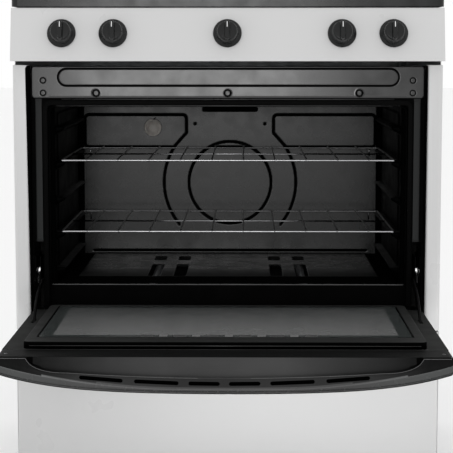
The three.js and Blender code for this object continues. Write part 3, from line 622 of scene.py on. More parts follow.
def oven_walls():
    """The stamped liner: back wall, sides with rack guides, ceiling, well and the collar round the mouth."""
    low, high = extent("oven_liner")
    sheet = 1.6
    half, floor, ceiling = 312, low.z + sheet, high.z - sheet
    back = high.y - sheet
    mouth_y, mouth_half = 45, 318

    def back_height(x, z):
        lines = back_wall_lines(x, z)
        fields = 1 - smooth_step(field_distance(x, z), -1.5, 0.5)
        return 1.2 * fields + 1.4 - 4.0 * lines

    # Painted shade: the stamped grooves, holes and slot, and the corners by the side walls, are painted dark.
    def back_wall_shade(x, z):
        corner = smooth_step(np.abs(x), half - 13, half - 8)
        return np.maximum(back_wall_lines(x, z), corner)

    wall = relief("oven_back_wall", steps(-half, half, 1.5), steps(floor, ceiling, 1.5),
                  lambda x, z, h: at(x, back - h, z), back_height, OVEN_ENAMEL, back_wall_shade)
    pieces = [wall]

    def guide_height(y, z):
        along = smooth_step(y, 56, 66) * (1 - smooth_step(y, 430, 442))
        total = np.zeros_like(y)
        for level in RACK_LEVELS:
            top = level - 3.6
            shape = smooth_step(z, top - 17, top - 4) * (1 - smooth_step(z, top - 1.4, top))
            total = np.maximum(total, 15.5 * shape)
        flare = -(mouth_half - half) * (1 - smooth_step(y, mouth_y, mouth_y + 8))
        panel = 2.0 * (1 - smooth_step(rounded_box_distance(y, z, (255, 552), (170, 150), 14), -2, 2))
        return total * along + flare + panel * (1 - along * np.minimum(total, 1))

    for side in (-1, 1):
        pieces.append(relief(f"side_{side}", steps(mouth_y, back, 3), steps(floor, ceiling, 1.6),
                             lambda y, z, h, s=side: at(s * (half - h), y, z), guide_height, OVEN_SIDE,
                             lambda y, z: 0 * y, 0))

    def raised_field(x, y):
        return 2 * smooth_step(rounded_box_distance(x, y, (0, 255), (280, 180), 20), 6, -2)

    for name, z, inward in (("ceiling", ceiling, -1), ("well", floor, 1)):
        pieces.append(relief(name, steps(-half, half, 8), steps(mouth_y, back, 8),
                             lambda x, y, h, z=z, d=inward: at(x, y, z + d * h),
                             raised_field, OVEN_SIDE, lambda x, y: 0 * x, 0))
    pieces.append(mouth_collar(mouth_half, mouth_y, ceiling))
    liner = join_objects("oven_walls", pieces)
    put(liner, "oven_liner", "oven_liner")


def oven_floor():
    """Removable floor panel: a raised dish with rounded edges, slots over the burner and two lift notches."""
    low, high = extent("oven_bottom")
    raised = ((0, 279), (282, 178), 16)
    painted_shade_edge = 112

    def height(x, y):
        return 2.6 * smooth_step(rounded_box_distance(x, y, *raised), 2.5, -2.5) - 3.0

    # Painted shade: the front of the floor and the floor round the raised dish are painted dark.
    def painted_shade(x, y):
        shade_paint = 0.44 * (1 - smooth_step(y, 110, 230))
        return np.maximum(shade_paint, smooth_step(rounded_box_distance(x, y, *raised), -6, 1))

    panel = relief("oven_floor_panel", steps(low.x, high.x, 3), steps(low.y, high.y, 2.5),
                   lambda x, y, h: at(x, y, high.z + 0.4 + h), height, OVEN_ENAMEL, painted_shade, 1.2)
    cutters = []
    for x in (-138, -90, 90, 138):
        for y0, y1 in ((116, 276), (336, 396)):
            rings = [ring(11.5, (y0, y1), z, 5, x, 4) for z in (low.z - 8, high.z + 8)]
            cutters.append(loft("slot", rings, DULL_BLACK))
    # Painted shade: the front strip of the floor takes dull black.
    second_finish(panel, DULL_BLACK, lambda x, y, z: y < painted_shade_edge)
    put(cut_away(panel, cutters), "oven_bottom", "oven_bottom")


def mouth_collar(half, depth, ceiling):
    """The rolled lip round three sides of the mouth, and the return of sheet that joins it to the walls."""
    low, high = 394, 716
    path = rounded_path([(-half, low), (-half, high), (half, high), (half, low)], 13)
    section = [(-0.1, depth), (0, 27), (0.4, 25), (1.4, 24.1), (2.0, 25.4),
               (2.2, 27.4), (11, 27.4), (11, 28.6), (1.7, 28.6), (1.7, depth - 1.5)]
    vertices = []
    for point, tangent in directed(path):
        outward = Vector((-tangent.y, tangent.x))
        for offset, y in section:
            p = point + outward * offset
            vertices.append(at(p.x, y, p.y))
    lip = mesh_object("collar", vertices, grid_faces(len(section), len(path)), OVEN_SIDE)
    header = [at(-half - 1, depth, high - 1), at(half + 1, depth, high - 1), at(half + 1, depth, ceiling),
              at(-half - 1, depth, ceiling)]
    top = mesh_object("header", header, [(0, 1, 2, 3)], OVEN_SIDE)
    sill_line = [(40.6, 368), (40.6, 393), (41.4, 394.2), (43.5, 394.4), (45, 393.6), (45, 368)]
    vertices = [at(x, y, z) for x in (-half, half) for y, z in sill_line]
    sill = mesh_object("sill", vertices, grid_faces(len(sill_line), 2), OVEN_SIDE)
    # Painted highlight on the top of the sill and painted sheen on the fold below it.
    second_finish(sill, HIGHLIGHT_GREY, lambda x, y, z: z > 392.5)
    fold = tube("sill_fold", [at(-292, 40.2, 370.5), at(292, 40.2, 370.5)], 0.9, SHEEN_BLACK)
    return join_objects("mouth", [lip, top, sill, fold])


def gasket():
    """The flattened door rope, and two thin beads above the mouth."""
    low, high = extent("oven_gasket")
    middle = (low.y + high.y) / 2
    inset = 5
    corners = [at(low.x + inset, middle, low.z), at(low.x + inset, middle, high.z - inset),
               at(high.x - inset, middle, high.z - inset), at(high.x - inset, middle, low.z)]
    path = rounded_path(corners, 12 * MM)
    rope = tube("gasket_rope", path, 4.6, FINISH["gasket_fibre"])
    flat = Matrix.Diagonal((1, 0.44, 1, 1))
    centre = Matrix.Translation((0, middle * MM + FRONT, 0))
    rope.data.transform(centre @ flat @ centre.inverted())
    # The beads take a grey-black, painted sheen for the light they catch.
    for i, (z, reach) in enumerate(((729.3, 296), (717.6, 306))):
        ends = [at(-reach, 21.7, z), at(reach, 21.7, z)]
        put(tube(f"gasket_bead_{i}", ends, 1.1, SHEEN_BLACK), "oven_gasket")
    put(rope, "oven_gasket", "oven_gasket")


def top_rail():
    """The rail over the mouth, with a stamped track, three screws and four rivets."""
    low, high = extent("front_top_rail")
    middle = ((low.x + high.x) / 2, (low.z + high.z) / 2)
    half = ((high.x - low.x) / 2, (high.z - low.z) / 2)
    stadium = ((1, 768.3), (303, 15.2))
    screws = [(-234, 740.4), (0, 740.4), (234, 740.4)]
    rivets = [(s * 329, z) for s in (-1, 1) for z in (762.7, 740.4)]
    screw_rim, rivet_rim = 5.6, 4.8

    def away(x, z, spots):
        return [np.hypot(x - sx, z - sz) for sx, sz in spots]

    def edge(x, z):
        return rounded_box_distance(x, z, middle, half, 6)

    def track(x, z):
        return rounded_box_distance(x, z, *stadium, stadium[1][1])

    def height(x, z):
        rim = 1.5 * smooth_step(edge(x, z), 0, -2.0)
        channel = -1.6 * (1 - smooth_step(np.abs(track(x, z)), 0.4, 1.8))
        raised = 0.7 * smooth_step(track(x, z), 0, -3)
        for distance in away(x, z, screws):
            raised = raised + 0.7 * (1 - smooth_step(distance, 7.0, 9.0))
            raised = raised - 0.9 * (1 - smooth_step(distance, screw_rim, 6.6))
        for distance in away(x, z, rivets):
            raised = raised - 0.9 * (1 - smooth_step(np.abs(distance - rivet_rim), 0.3, 1.3))
        lean = 1.9 * (high.z - z) / (high.z - low.z)
        return lean + 0.35 * (rim + raised) + 0.6 * channel

    # Painted shade: the stamped track, the rims of screws and rivets, a fold line and the rail's border are
    # painted dark.
    def painted_shade(x, z):
        dark = 1 - smooth_step(np.abs(track(x, z)), 0.8, 2.2)
        for distance in away(x, z, screws):
            dark = np.maximum(dark, 1 - smooth_step(np.abs(distance - screw_rim), 0.9, 2.0))
        for distance in away(x, z, rivets):
            dark = np.maximum(dark, 0.9 * (1 - smooth_step(np.abs(distance - rivet_rim), 0.4, 1.5)))
        fold = np.where(np.abs(x) < 318, np.abs(z - high.z + 53.6), 99)
        dark = np.maximum(dark, 0.42 * (1 - smooth_step(fold, 0.3, 1.2)))
        return np.maximum(dark, smooth_step(edge(x, z), -1.0, 0.2))

    rail = relief("top_rail", steps(low.x, high.x, 1.0), steps(low.z, high.z, 0.7),
                  lambda x, z, h: at(x, high.y - 0.3 - h, z), height, RAIL_ENAMEL, painted_shade, 0.3)
    put(rail, "front_top_rail", "front_top_rail")
    for i, (x, z) in enumerate(screws):
        head = pan_screw(f"rail_screw_{i}", at(x, high.y - 1.5, z), (0, -1, 0), 4.2, height=1.2)
        put(head, "front_top_rail")


def painted_gap_shade():
    """Painted shade: black strips in the gaps between the front frame and the side panels, wider toward the
    rounded top.
    """
    for side in (-1, 1):
        panel = extent("side_panel_left" if side < 0 else "side_panel_right")
        inner = min(abs(panel[0].x), abs(panel[1].x))
        top, low, face = 789.5, 380, panel[0].y
        rows = [(303, 0.7)] + [(z, 0.7 + 4.8 * (z - low) / (top - low)) for z in np.linspace(low, top - 7, 9)]
        rows += [(top - 7 + 7 * math.sin(a), 5.5 - 7 * (1 - math.cos(a))) for a in (0.3, 0.6, 0.9, 1.15, 1.4)]
        rings = []
        for z, spread in rows:
            wide = spread if side < 0 else 0.25 * spread
            section = [(-0.7, face - 0.6), (wide, face - 0.6), (wide, face - 0.1), (-0.2, face - 0.1),
                       (-0.2, 21.6), (-0.7, 21.6)]
            rings.append([at(side * (inner + out), y, z) for out, y in section])
        seal = loft(f"gap_shade_strip_{side + 1}", rings, DULL_BLACK)
        put(seal, "front_frame")


def pan_screw(name, origin, axis, radius, material=None, height=1.6):
    """A low domed screw head with a crossed recess."""
    profile = [(0, 1), (0.25, 0.98), (0.6, 0.85), (0.88, 0.5), (1, 0.15), (0.98, 0), (0, 0)]
    profile = [(radius * r, height * h) for r, h in profile]
    head = turned(name, profile, origin, axis, material or SCREW_STEEL, 24)
    axis = Vector(axis).normalized()
    across = axis.orthogonal().normalized()
    r, t = radius * MM, height * MM
    cutters = []
    for turn in (0.4, 0.4 + math.pi / 2):
        lengthways = Matrix.Rotation(turn, 3, axis) @ across
        side = axis.cross(lengthways)
        corners = [Vector(origin) + lengthways * (a * r * 0.55) + side * (b * r * 0.12) + axis * c
                   for a in (-1, 1) for b in (-1, 1) for c in (t * 0.35, t * 1.4)]
        cutters.append(mesh_object("slot", corners, BOX_FACES, head.data.materials[0], False))
    return cut_away(head, cutters)


def lamp():
    """The ribbed glass cap of the lamp and the wire clip that holds it."""
    low, high = extent("oven_lamp_lens")
    base = at((low.x + high.x) / 2, high.y - 6, (low.z + high.z) / 2)
    ribs, rib_depth = 24, 0.4 * MM
    profile = [(0, 13.4), (4, 13.2), (8, 12.6), (11.5, 11.2), (13.6, 9.6), (14.6, 8.6),
               (15.6, 8.9), (17.2, 8.2), (18, 6.5), (18, 3.2), (0, 3.2)]
    lens = turned("lamp_glass_cap", profile, base, (0, -1, 0), FINISH["lamp_glass"], 96)
    for vertex in lens.data.vertices:
        offset = vertex.co - Vector((base.x, vertex.co.y, base.z))
        turn = math.atan2(offset.z, offset.x)
        if 0.004 < offset.length < 0.0142:
            vertex.co.y -= rib_depth * math.cos(ribs * turn)
    put(lens, "oven_lamp_lens", "oven_lamp_lens")
    clip = [base + Vector(p) * MM for p in ((4, -12.5, 13.5), (3, -11, 18.5), (6, -3, 20.5))]
    put(tube("lamp_clip", rounded_path(clip, 2 * MM), 0.8, BRIGHT_STEEL, sides=8), "oven_lamp_lens")


# ---------------------------------------------------------------- racks

def rack(node):
    """A wire shelf: a loop, a middle rod, ten bent wires and two stops at the rear."""
    low, high = extent(node)
    radius, thin = 1.9, 1.4
    front, rear = low.y + 2.8, high.y - 3.2
    level = low.z + 2.8
    half = high.x - radius
    wires, pitch = 10, 56.4
    chrome = FINISH["chrome_wire"]
    corners = [at(x, y, level) for x, y in ((-half, front), (half, front), (half, rear), (-half, rear))]
    loop = rounded_path(corners, 5 * MM, closed=True)
    # Painted shade: the side runs of the loop and the ten wires take a darker copy of the chrome, for the dark
    # oven they reflect; the front and rear runs, middle rod and stops keep the chrome.
    pieces = [second_finish(tube("loop", loop, radius, DARK_WIRE, closed=True), chrome,
                            lambda x, y, z: y < 38 + radius or y > 400)]
    pieces.append(tube("middle", [at(-half, 216, level), at(half, 216, level)], thin * 1.1, chrome))
    top = level + radius + thin - 0.4
    for i in range(wires):
        x = (i - (wires - 1) / 2) * pitch
        path = rounded_path([at(x, front - 2.6, level + 0.6), at(x, front - 1.6, top), at(x, rear + 0.4, top),
                             at(x, rear + 1.6, level + 1)], 2.2 * MM, per_corner=4)
        pieces.append(tube("wire", path, thin, DARK_WIRE, sides=10))
    for x in (-282, 282):
        corners = [at(x, rear - 9, level - 1), at(x, rear - 1, level - 2), at(x, rear - 1, level - 17)]
        pieces.append(tube("stop", rounded_path(corners, 3 * MM), thin, chrome, sides=8))
    put(join_objects(node + "_wires", pieces), node, node)


# ---------------------------------------------------------------- door

CAP_DROP, CAP_END_DROP, CAP_END = 57.0, 28.4, 343.0


def bow(x, level):
    """Height of the bowed lower edge of the cap."""
    reach = abs(x) / CAP_END
    return level - CAP_DROP + (CAP_DROP - CAP_END_DROP) * (0.35 * reach ** 2 + 0.65 * reach ** 4.5)


def bead_scale(x):
    """The rolled bead along the bow gets taller toward the ends."""
    return float(0.85 + 0.75 * smooth_step(abs(x), 90, 320))


def crescent_depth(x):
    """How far the crescent recess reaches below the door's inner level."""
    side = abs(x)
    if side >= 303:
        return 0.0
    if side > 241:
        return 24 * math.sqrt(max(0.0, 1 - ((side - 241) / 62) ** 2.3))
    return 32 - 8 * (side / 241) ** 2


def door_cap():
    """The bowed plastic cap on the door: crescent recess, rolled bead, finger space, vents and screws."""
    low, high = extent("door_handle_cap")
    level = high.z
    back, face = high.y, low.y

    def edge_line(x):
        return level - max(crescent_depth(x), 1.6)

    def above(x, z, least, most):
        crown = 11 * bead_scale(x)
        return least * crown < z - bow(x, level) < most * crown

    xs = sorted({*steps(-high.x, high.x, 3.5), *(s * x for s in (-1, 1) for x in steps(288, 304, 1))})
    rings = []
    for x in xs:
        end = smooth_step(high.x - abs(x), 0, 3.0)
        bottom = bow(x, level) + 1.2 * (1 - end)
        deep = crescent_depth(x)
        sink = 3.2 * min(1.0, deep / 10)
        tuck = 1.5 * (1 - end)
        edge = level - max(deep, 1.2)
        ridge = min(1.0, deep / 8)
        room = edge - bottom
        big = bead_scale(x)
        shoulder = min(14.6 * big, room - 2.4)
        neck = min(12.4 * big, shoulder - 1.2)
        crown = min(11 * big, neck - 0.8)
        section = [
            (back, bottom + 1.0), (back, level - 0.6), (back - 0.6, level - tuck),
            (face + 9.6, level - tuck), (face + 8.0, level - 0.7 - tuck),
            (face + 7.0 - 0.2 * sink, level - 1.2 - 0.3 * deep),
            (face + 5.4 - 0.5 * sink, level - 1.2 - 0.62 * deep),
            (face + 3.0 + 0.9 * sink, edge + 1.2), (face + 3.0, edge + 0.5), (face + 3.0 - 1.4 * ridge, edge),
            (face + 3.0 - 1.8 * ridge, edge - 0.6), (face + 3.0 - 1.2 * ridge, edge - 1.4),
            (face + 2.4, bottom + shoulder), (face + 2.0, bottom + neck),
            (face + 1.0, bottom + crown), (face + 0.25, bottom + crown * 0.86), (face, bottom + crown * 0.72),
            (face + 0.4, bottom + crown * 0.58),
            (face + 1.5, bottom + 4.9), (face + 3.2, bottom + 4.2), (face + 3.2, bottom + 3.4),
            (face + 1.3, bottom + 3.0), (face + 0.9, bottom + 2.2), (face + 1.4, bottom + 1.0),
            (face + 3.0, bottom), (face + 12, bottom), (back - 20, bottom), (back - 1.0, bottom),
        ]
        rings.append([at(x, y + tuck, z) for y, z in section])
    cap = solid("door_cap", rings, FINISH["black_plastic"])
    skirt = face + 9
    # Painted light: the recess, band and bead take plastics painted from the middle of the door to its ends;
    # the walls at the ends of the recess take dull black and the strip under the bead the dark top finish,
    # painted shade.
    second_finish(cap, RECESS_PLASTIC, lambda x, y, z: y < skirt and z < level - 0.6)
    second_finish(cap, CAP_TOP, lambda x, y, z: z > level - 1.0)
    second_finish(cap, DULL_BLACK,
                  lambda x, y, z: y < skirt and 293 < abs(x) < 304 and level - 1 > z > edge_line(x) + 1)
    second_finish(cap, BAND_PLASTIC, lambda x, y, z: y < skirt and z < edge_line(x) - 0.4)
    second_finish(cap, BEAD_PLASTIC, lambda x, y, z: y < face + 4 and above(
        x, z, 0.5, 1.18 - 0.25 * smooth_step(abs(x), 120, 280)))
    second_finish(cap, CAP_TOP,
                  lambda x, y, z: y < skirt and z - bow(x, level) > 2.6 and above(x, z, 0.0, 0.5))
    # Painted highlight: a light grey line along the lower edge of the recess.
    for side in (-1, 1):
        line = [at(side * x, face + 1.1, edge_line(x)) for x in steps(40, 346, 3)]
        put(tube(f"painted_edge_highlight_{side + 1}", line, 0.45, HIGHLIGHT_GREY, sides=6), "door_handle_cap")
    # The seam takes the grey-black of painted sheen.
    seam = [at(x, back - 0.2, level - 0.1) for x in (-CAP_END, CAP_END)]
    put(tube("cap_seam", seam, 0.5, SHEEN_BLACK, sides=6), "door_handle_cap")
    skin = extent("door_outer_skin")[0].z - 0.4
    cutters = [grip_cutter(level, skin, back)]
    for side in (-1, 1):
        for x0, x1 in ((7, 55), (70, 138), (155.5, 222)):
            cutters.append(vent_cutter(side * x0, side * x1, level, face))
    cut_away(cap, cutters)
    bevelled(cap, 0.5, 2, 50)
    put(weighted(cap, 50), "door_handle_cap", "door_handle_cap")
    for side in (-1, 1):
        seat = at(side * 338, (back + face) / 2 - 2, level - 0.8)
        put(pan_screw(f"cap_screw_{side + 1}", seat, (0, 0, 1), 3.4, DARK_WIRE), "door_handle_cap")


def grip_cutter(level, skin, back):
    """The finger space behind the bow, as a closed solid that follows the bow."""
    reach = 270
    rings = []
    for x in steps(-reach, reach, 15):
        lower = bow(x, level) + 6
        corners = ((back + 2, lower), (back + 2, skin), (back - 46, skin), (back - 46, lower))
        rings.append([at(x, y, z) for y, z in corners])
    return solid("grip", rings, FINISH["black_plastic"], smooth=False)


def vent_cutter(x0, x1, level, face):
    """A slot with round ends that follows the bow."""
    radius, height, lift, lift_at = 3.1, 16.3, 9, 216
    low_x, high_x = sorted((x0, x1))
    low_z, high_z = (level - CAP_DROP + height + lift * (x / lift_at) ** 2 for x in (low_x, high_x))
    outline = half_turn(low_x + radius, low_z, radius, 90) + half_turn(high_x - radius, high_z, radius, -90)
    rings = [[at(x, y, z) for x, z in outline] for y in (face - 2, face + 13)]
    return solid("vent", rings, DULL_BLACK, smooth=False)


def door_plug():
    """Raised liner of the door: soft edges, and a stepped frame that holds the inner glass."""
    low, high = extent("door_liner_plug")
    glass_low = extent("door_inner_glass")[0]
    top, base = high.z, low.z
    half, ys = high.x, (low.y, high.y)

    def level(inset, z, radius):
        return ring(half - inset, (ys[0] + inset, ys[1] - inset), z, radius)

    border, glass_rear = 16, -15.6

    def frame_level(inset, z, radius):
        ends = (glass_low.y - border + inset, glass_rear + border - inset)
        return ring(half - inset - 3.0, ends, z, radius)

    rings = [level(0, base, 11), level(0, top - 3.4, 11), level(0.2, top - 1.6, 11),
             level(0.8, top - 0.5, 10.5), level(1.8, top, 10), frame_level(12.6, top, 4),
             frame_level(13.4, top - 0.4, 4), frame_level(13.8, top - 1.6, 4),
             frame_level(13.9, glass_low.z - 0.4, 4), frame_level(27, glass_low.z - 0.4, 4),
             frame_level(27, base, 4)]
    plug = loft("door_liner", rings, FINISH["black_enamel"], loop=True)
    # Painted light and shade: the flat top of the liner is painted a lighter grey and the sides below it dull
    # black.
    second_finish(plug, DULL_BLACK, lambda x, y, z: z < top - 0.9)
    second_finish(plug, LINER_TOP, lambda x, y, z: z > top - 0.3)
    bead = [at(x, ys[0] + 0.35, top - 6.6) for x in (-half + 10, half - 10)]
    put(tube("liner_bead", bead, 0.9, GLOSS_PLASTIC), "door_liner_plug")
    section = ((14.0, top - 1.2), (14.0, top - 0.3), (16.4, top - 0.3), (16.4, top - 1.2))
    seal = [frame_level(inset, z, 3) for inset, z in section]
    put(loft("glass_seal", seal, DULL_BLACK, loop=True), "door_inner_glass")
    clips = []
    first, pitch, count = -125.5, 26.2, 11
    for i in range(count):
        middle = first + pitch * i
        reach, shade = ((10, CLIP_DARK), (6.5, CLIP_LIGHT))[i % 2]
        corners = [at(middle + a * reach, y, z) for a in (-1, 1) for y in (-311, -297.5)
                   for z in (top - 0.7, top - 0.12)]
        clips.append(mesh_object("clip", corners, BOX_FACES, shade, False))
    put(join_objects("glass_clips", clips), "door_inner_glass")
    put(plug, "door_liner_plug", "door_liner_plug")


def hinge_springs():
    """A bright roller in each slot of the frame, and a small return spring under it."""
    coils, per_coil, top, bottom = 5, 10, 412.5, 398.0
    sleeve = [(7.0, 0), (7.0, 7.4), (6.6, 7.9), (0.1, 7.9), (0.1, 8.2),
              (7.0, 8.2), (7.4, 7.6), (7.4, 0), (7.0, 0)]
    for side, node, roller_y in ((-1, "hinge_receiver_left", 32.6), (1, "hinge_receiver_right", 31.2)):
        low, high = extent(node)
        path = []
        for k in range(coils * per_coil + 1):
            turn = 2 * math.pi * k / per_coil
            path.append(at((low.x + high.x) / 2 + 2.1 * math.cos(turn), 33 + 2.1 * math.sin(turn),
                           top - (top - bottom) * k / (coils * per_coil)))
        put(tube(f"hinge_spring_{side + 1}", path, 0.6, SCREW_STEEL, sides=6), node)
        place = at(side * 345.6, roller_y, 421)
        put(turned(f"hinge_roller_{side + 1}", sleeve, place, (-side, 0, 0), BRIGHT_STEEL, 32), node)


# ---------------------------------------------------------------- top of the range

PANEL_SIN, PANEL_COS = 0.23021, 0.97314  # lean of the control panel
KNOB_Y, KNOB_Z = -16.645, 845            # where the knob axes meet the panel
BURNER_ROWS = (150, 402)                 # y of the front and rear burners


def knob(node):
    """A fluted skirt with a domed grip bar and a pointer line, square to the sloping panel."""
    low, high = extent(node)
    outward = Vector((0, -PANEL_COS, PANEL_SIN))
    upward = Vector((0, PANEL_SIN, PANEL_COS))
    centre = at((low.x + high.x) / 2, KNOB_Y, KNOB_Z)

    def spot(a, b, h):
        return centre + (Vector((a, 0, 0)) + upward * b + outward * h) * MM

    profile = [(0, 1.2), (24.4, 1.2), (25, 1.8), (25, 3.6), (24.2, 4.8), (21, 6.4), (19.6, 8.4),
               (18.8, 13), (18, 19), (17.2, 22.6), (16, 24), (14, 24.6), (0, 24.6)]
    skirt = turned("skirt", profile, centre, outward, FINISH["black_plastic"], 144)
    flutes, flute_depth = 36, 0.5 * MM
    for vertex in skirt.data.vertices:
        offset = vertex.co - centre
        h = offset.dot(outward) / MM
        flat = offset - outward * offset.dot(outward)
        if 7.5 < h < 23.5 and flat.length > 0.015:
            turn = math.atan2(flat.dot(upward), flat.x)
            vertex.co -= flat.normalized() * flute_depth * (0.5 + 0.5 * math.cos(flutes * turn))
    rings = []
    for h, long, wide in ((20, 17.2, 5.2), (24.6, 17, 5), (28, 16.6, 4.6), (31, 16.2, 4.3), (32.6, 15.6, 3.8),
                          (33.4, 14.8, 3.0)):
        outline = half_turn(0, long - wide, wide, 0) + half_turn(0, wide - long, wide, 180)
        rings.append([spot(a, b, h) for a, b in outline])
    grip = solid("grip", rings, FINISH["black_plastic"])
    put(weighted(join_objects(node + "_body", [skirt, grip])), node, node)
    line = ((-0.7, 4), (0.7, 4), (0.7, 13.4), (-0.7, 13.4))
    pointer = [[spot(a, b, h) for a, b in line] for h in (33.2, 33.7)]
    put(solid(node + "_pointer", pointer, INK_WHITE, smooth=False), node)


def burner(base_node):
    """Cast burner head with a ring of flame ports, and its domed enamelled cap."""
    low, high = extent(base_node)
    cap_node = base_node.replace("base", "cap")
    cap_low, cap_high = extent(cap_node)
    x, y = (low.x + high.x) / 2, (low.y + high.y) / 2
    centre, up = at(x, y, low.z), (0, 0, 1)
    radius = (cap_high.x - cap_low.x) / 2
    seat, port_depth = 902.4, 2.6 * MM
    skirt = [(-10.6, 0), (5, 0), (5, 1.6), (4, 2.6), (-2, 3.6), (-4, 4.6), (-4.2, 6), (-4.4, 12.6)]
    profile = [(0, low.z), (12, low.z), (12, 890), (radius - 10.6, 894)]
    profile += [(radius + r, seat + h) for r, h in skirt]
    profile += [(radius - 3.4, 916.2), (radius - 5, 917), (0, 917)]
    profile = [(r, h - low.z) for r, h in profile]
    head = turned("head", profile, centre, up, FINISH["burner_aluminium"], 180)
    for vertex in head.data.vertices:
        flat = Vector((vertex.co.x - centre.x, vertex.co.y - centre.y, 0))
        h = vertex.co.z / MM
        if seat + 5.5 < h < seat + 13 and flat.length > (radius - 6) * MM:
            step = int(round(math.degrees(math.atan2(flat.y, flat.x)) / 2)) % 5
            if step < 2:
                vertex.co -= flat.normalized() * port_depth
    put(weighted(head), base_node, base_node)
    profile = [(0, 0), (radius - 2, 0), (radius - 0.6, 0.5), (radius, 1.8), (radius - 0.3, 3.4),
               (radius - 1.6, 5), (radius - 4.5, 6.2), (radius * 0.6, 7.3), (radius * 0.3, 8.1), (0, 8.5)]
    put(turned("cap", profile, at(x, y, cap_low.z), up, FINISH["cap_enamel"], 96), cap_node, cap_node)


def beam(name, path, material, closed=False):
    """A cast grate bar along a level path: crowned top, drafted sides."""
    section = [(-3.0, 0), (-4.0, -0.7), (-4.5, -2.2), (-3.9, -10.8), (-2.9, -12), (2.9, -12), (3.9, -10.8),
               (4.5, -2.2), (4.0, -0.7), (3.0, 0)]
    rings = []
    for point, tangent in directed([Vector(p) for p in path], closed):
        across = Vector((tangent.y, -tangent.x, 0))
        rings.append([point + across * (u * MM) + Vector((0, 0, v * MM)) for u, v in section])
    return solid(name, rings, material, closed)


def grate(node):
    """A cast frame on six feet, with four fingers round the middle of each burner."""
    low, high = extent(node)
    iron = FINISH["cast_iron"]
    top, inset, clear = high.z, 4.5, 30
    x0, x1, y0, y1 = low.x + inset, high.x - inset, low.y + inset, high.y - inset
    middle, centre = (y0 + y1) / 2, (x0 + x1) / 2
    corners = [at(x, y, top) for x, y in ((x0, y0), (x1, y0), (x1, y1), (x0, y1))]
    pieces = [beam("frame", rounded_path(corners, 9 * MM, closed=True), iron, closed=True)]
    runs = [((x0, middle), (x1, middle))]
    for y, start, end in ((BURNER_ROWS[0], y0, middle), (BURNER_ROWS[1], middle, y1)):
        runs += [((x0, y), (centre - clear, y)), ((centre + clear, y), (x1, y)),
                 ((centre, start), (centre, y - clear)), ((centre, y + clear), (centre, end))]
    for a, b in runs:
        pieces.append(beam("finger", [at(*a, top), at(*b, top)], iron))
    foot = ((low.z, 3.2), (low.z + 1, 3.9), (low.z + 12, 4.1), (top - 9, 4.5), (top - 4, 4.2))
    for x in (x0, x1):
        for y in (y0, middle, y1):
            rings = [ring(half, (y - half, y + half), z, half * 0.5, x, 3) for z, half in foot]
            pieces.append(solid("foot", rings, iron))
    put(weighted(join_objects(node + "_casting", pieces)), node, node)


def clock_details():
    """A display window and a row of touch keys on the leaning clock panel."""
    low, high = extent("clock_panel")
    slope = 16 / 251  # how far the panel leans back over its height
    outward = Vector((0, -1, slope)).normalized()

    def face(x, z, proud=0.0):
        return at(x, low.y + (z - low.z) * slope, z) + outward * (proud * MM)

    middle = (low.z + high.z) / 2
    rings = []
    for proud, inset in ((-0.6, 0), (0.5, 0), (0.8, 0.5)):
        outline = []
        for cx, cz, start in ((1, -1, -90), (1, 1, 0), (-1, 1, 90), (-1, -1, 180)):
            for k in range(6):
                turn = math.radians(start + 18 * k)
                outline.append(face(cx * (38 - inset) + 4 * math.cos(turn),
                                    middle + 8 + cz * (14 - inset) + 4 * math.sin(turn), proud))
        rings.append(outline)
    put(loft("clock_display", rings, FINISH["black_enamel"]), "clock_panel")
    profile = [(6.6, -0.4), (8.4, -0.4), (8.4, 0.5), (8.0, 0.8), (7.0, 0.8), (6.6, 0.5), (6.6, -0.4)]
    for i, x in enumerate((-108, -76, 76, 108, -24, 0, 24)):
        z = middle + 8 if abs(x) > 60 else middle - 27
        put(turned(f"clock_key_{i}", profile, face(x, z), outward, INK_WHITE, 40), "clock_panel")


def rear_details():
    """Screws along the rear covers."""
    low, high = extent("back_panel")
    spots = [(x, z) for z in (low.z + 14, (low.z + high.z) / 2, high.z - 14) for x in (-362, 362)]
    rear_screws("rear_screw", "back_panel", spots + [(x, high.z - 14) for x in (-180, 0, 180)], 0.2)
    low, high = extent("backguard_rear_cover")
    spots = [(x, z) for x in (-362, 0, 362) for z in (low.z + 12, high.z - 12)]
    rear_screws("backguard_screw", "backguard_rear_cover", spots, 1.2)


def rear_screws(name, node, spots, sink):
    for i, (x, z) in enumerate(spots):
        put(pan_screw(f"{name}_{i}", at(x, extent(node)[1].y - sink, z), (0, 1, 0), 4.0), node)


# ---------------------------------------------------------------- carried-over nodes

ROUNDING = {
    "side_panel_left": 0.5, "side_panel_right": 0.5, "front_frame": 0.6, "drawer_front": 0.7,
    "manifold_panel": 0.6, "cooktop": 3.0, "backguard": 0.6, "clock_panel": 0.8, "door_inner_glass": 0.6,
    "door_inner_panel": 0.5, "door_outer_skin": 0.6, "door_outer_glass": 0.8, "hinge_arm_left": 0.6,
    "hinge_arm_right": 0.6,
}
# Merging the flat faces of these would close their holes.
HOLED = ("front_frame", "door_inner_panel", "manifold_panel")


def finish_cad_nodes():
    """Gives every node that no piece stands for its finish and its rounded edges."""
    replaced = {n for o in bpy.data.objects for n in (o.get("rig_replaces") or [])}
    for name, node in NODES.items():
        if name in replaced:
            continue
        material = FRAME_ENAMEL if name == "front_frame" else FINISH[SLOT_OF[name]]
        node.data.materials.clear()
        node.data.materials.append(material)
        round_edges(node, ROUNDING.get(name, 0.4), 3 if name in ROUNDING else 2, name not in HOLED)


# ---------------------------------------------------------------- stage

CAMERA_PLACE, CAMERA_LENS = (31, -2798, 820), 125.7
CAMERA_DOWN, CAMERA_TURN = 6.44, 0.67  # degrees


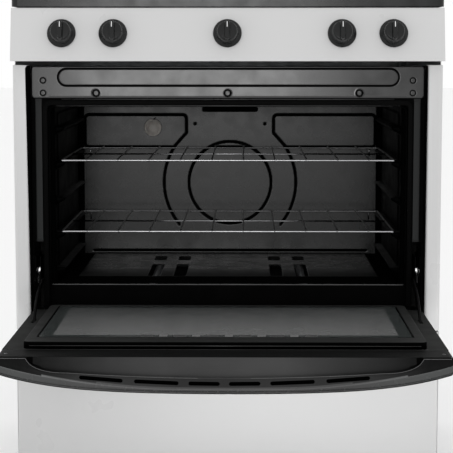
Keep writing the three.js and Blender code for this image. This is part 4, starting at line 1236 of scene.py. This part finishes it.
def stage():
    """White floor and surroundings, one soft light in front and a weak one low in the drawer gap."""
    paint = surface("floor_paint", (0.93,) * 3, 0.8, vary=0.004, vary_scale=0.4, specular=0.1)
    reach = 30
    corners = [(x * reach, y * reach, 0) for x, y in ((-1, -1), (1, -1), (1, 1), (-1, 1))]
    floor = mesh_object("studio_floor", corners, [(0, 1, 2, 3)], paint)
    world = bpy.data.worlds.new("studio")
    bpy.context.scene.world = world
    world.use_nodes = True
    sky = world.node_tree.nodes["Background"]
    sky.inputs["Color"].default_value = (1, 1, 1, 1)
    sky.inputs["Strength"].default_value = 1.0
    bpy.context.scene.view_settings.view_transform = "Standard"
    softbox("key", (-0.2, -4.2, 1.15), (-0.05, 0, 0.62), (1.1, 1.1), 20)
    fill = softbox("low_fill", (0.08, -0.85, 0.03), (0.08, -0.11, 0.27), (0.62, 0.03), 0.5, glossy=False)
    fill.data.spread = math.radians(50)


def softbox(name, place, target, size, power, glossy=True):
    """A rectangular area light aimed at a target, hidden from the camera. Places and sizes are in metres."""
    data = bpy.data.lights.new(name, "AREA")
    data.shape = "RECTANGLE"
    data.size, data.size_y = size
    data.energy = power
    light = add_object(name, data)
    light.location = place
    light.rotation_euler = (Vector(target) - Vector(place)).to_track_quat("-Z", "Y").to_euler()
    light.visible_camera = False
    light.visible_glossy = glossy
    return light


def camera():
    data = bpy.data.cameras.new("camera")
    data.sensor_width, data.lens = 36.0, CAMERA_LENS
    obj = add_object("camera", data)
    obj.location = at(*CAMERA_PLACE)
    obj.rotation_euler = (math.radians(90 - CAMERA_DOWN), 0, math.radians(CAMERA_TURN))
    bpy.context.scene.camera = obj


camera()
stage()
oven_walls()
gasket()
top_rail()
painted_gap_shade()
lamp()
rack("rack_upper")
rack("rack_lower")
door_cap()
oven_floor()
door_plug()
hinge_springs()
for knob_node in [n for n in NODES if n.startswith("knob_")]:
    knob(knob_node)
for burner_node in [n for n in NODES if n.startswith("burner_base_")]:
    burner(burner_node)
grate("grate_left")
grate("grate_right")
clock_details()
rear_details()
finish_cad_nodes()
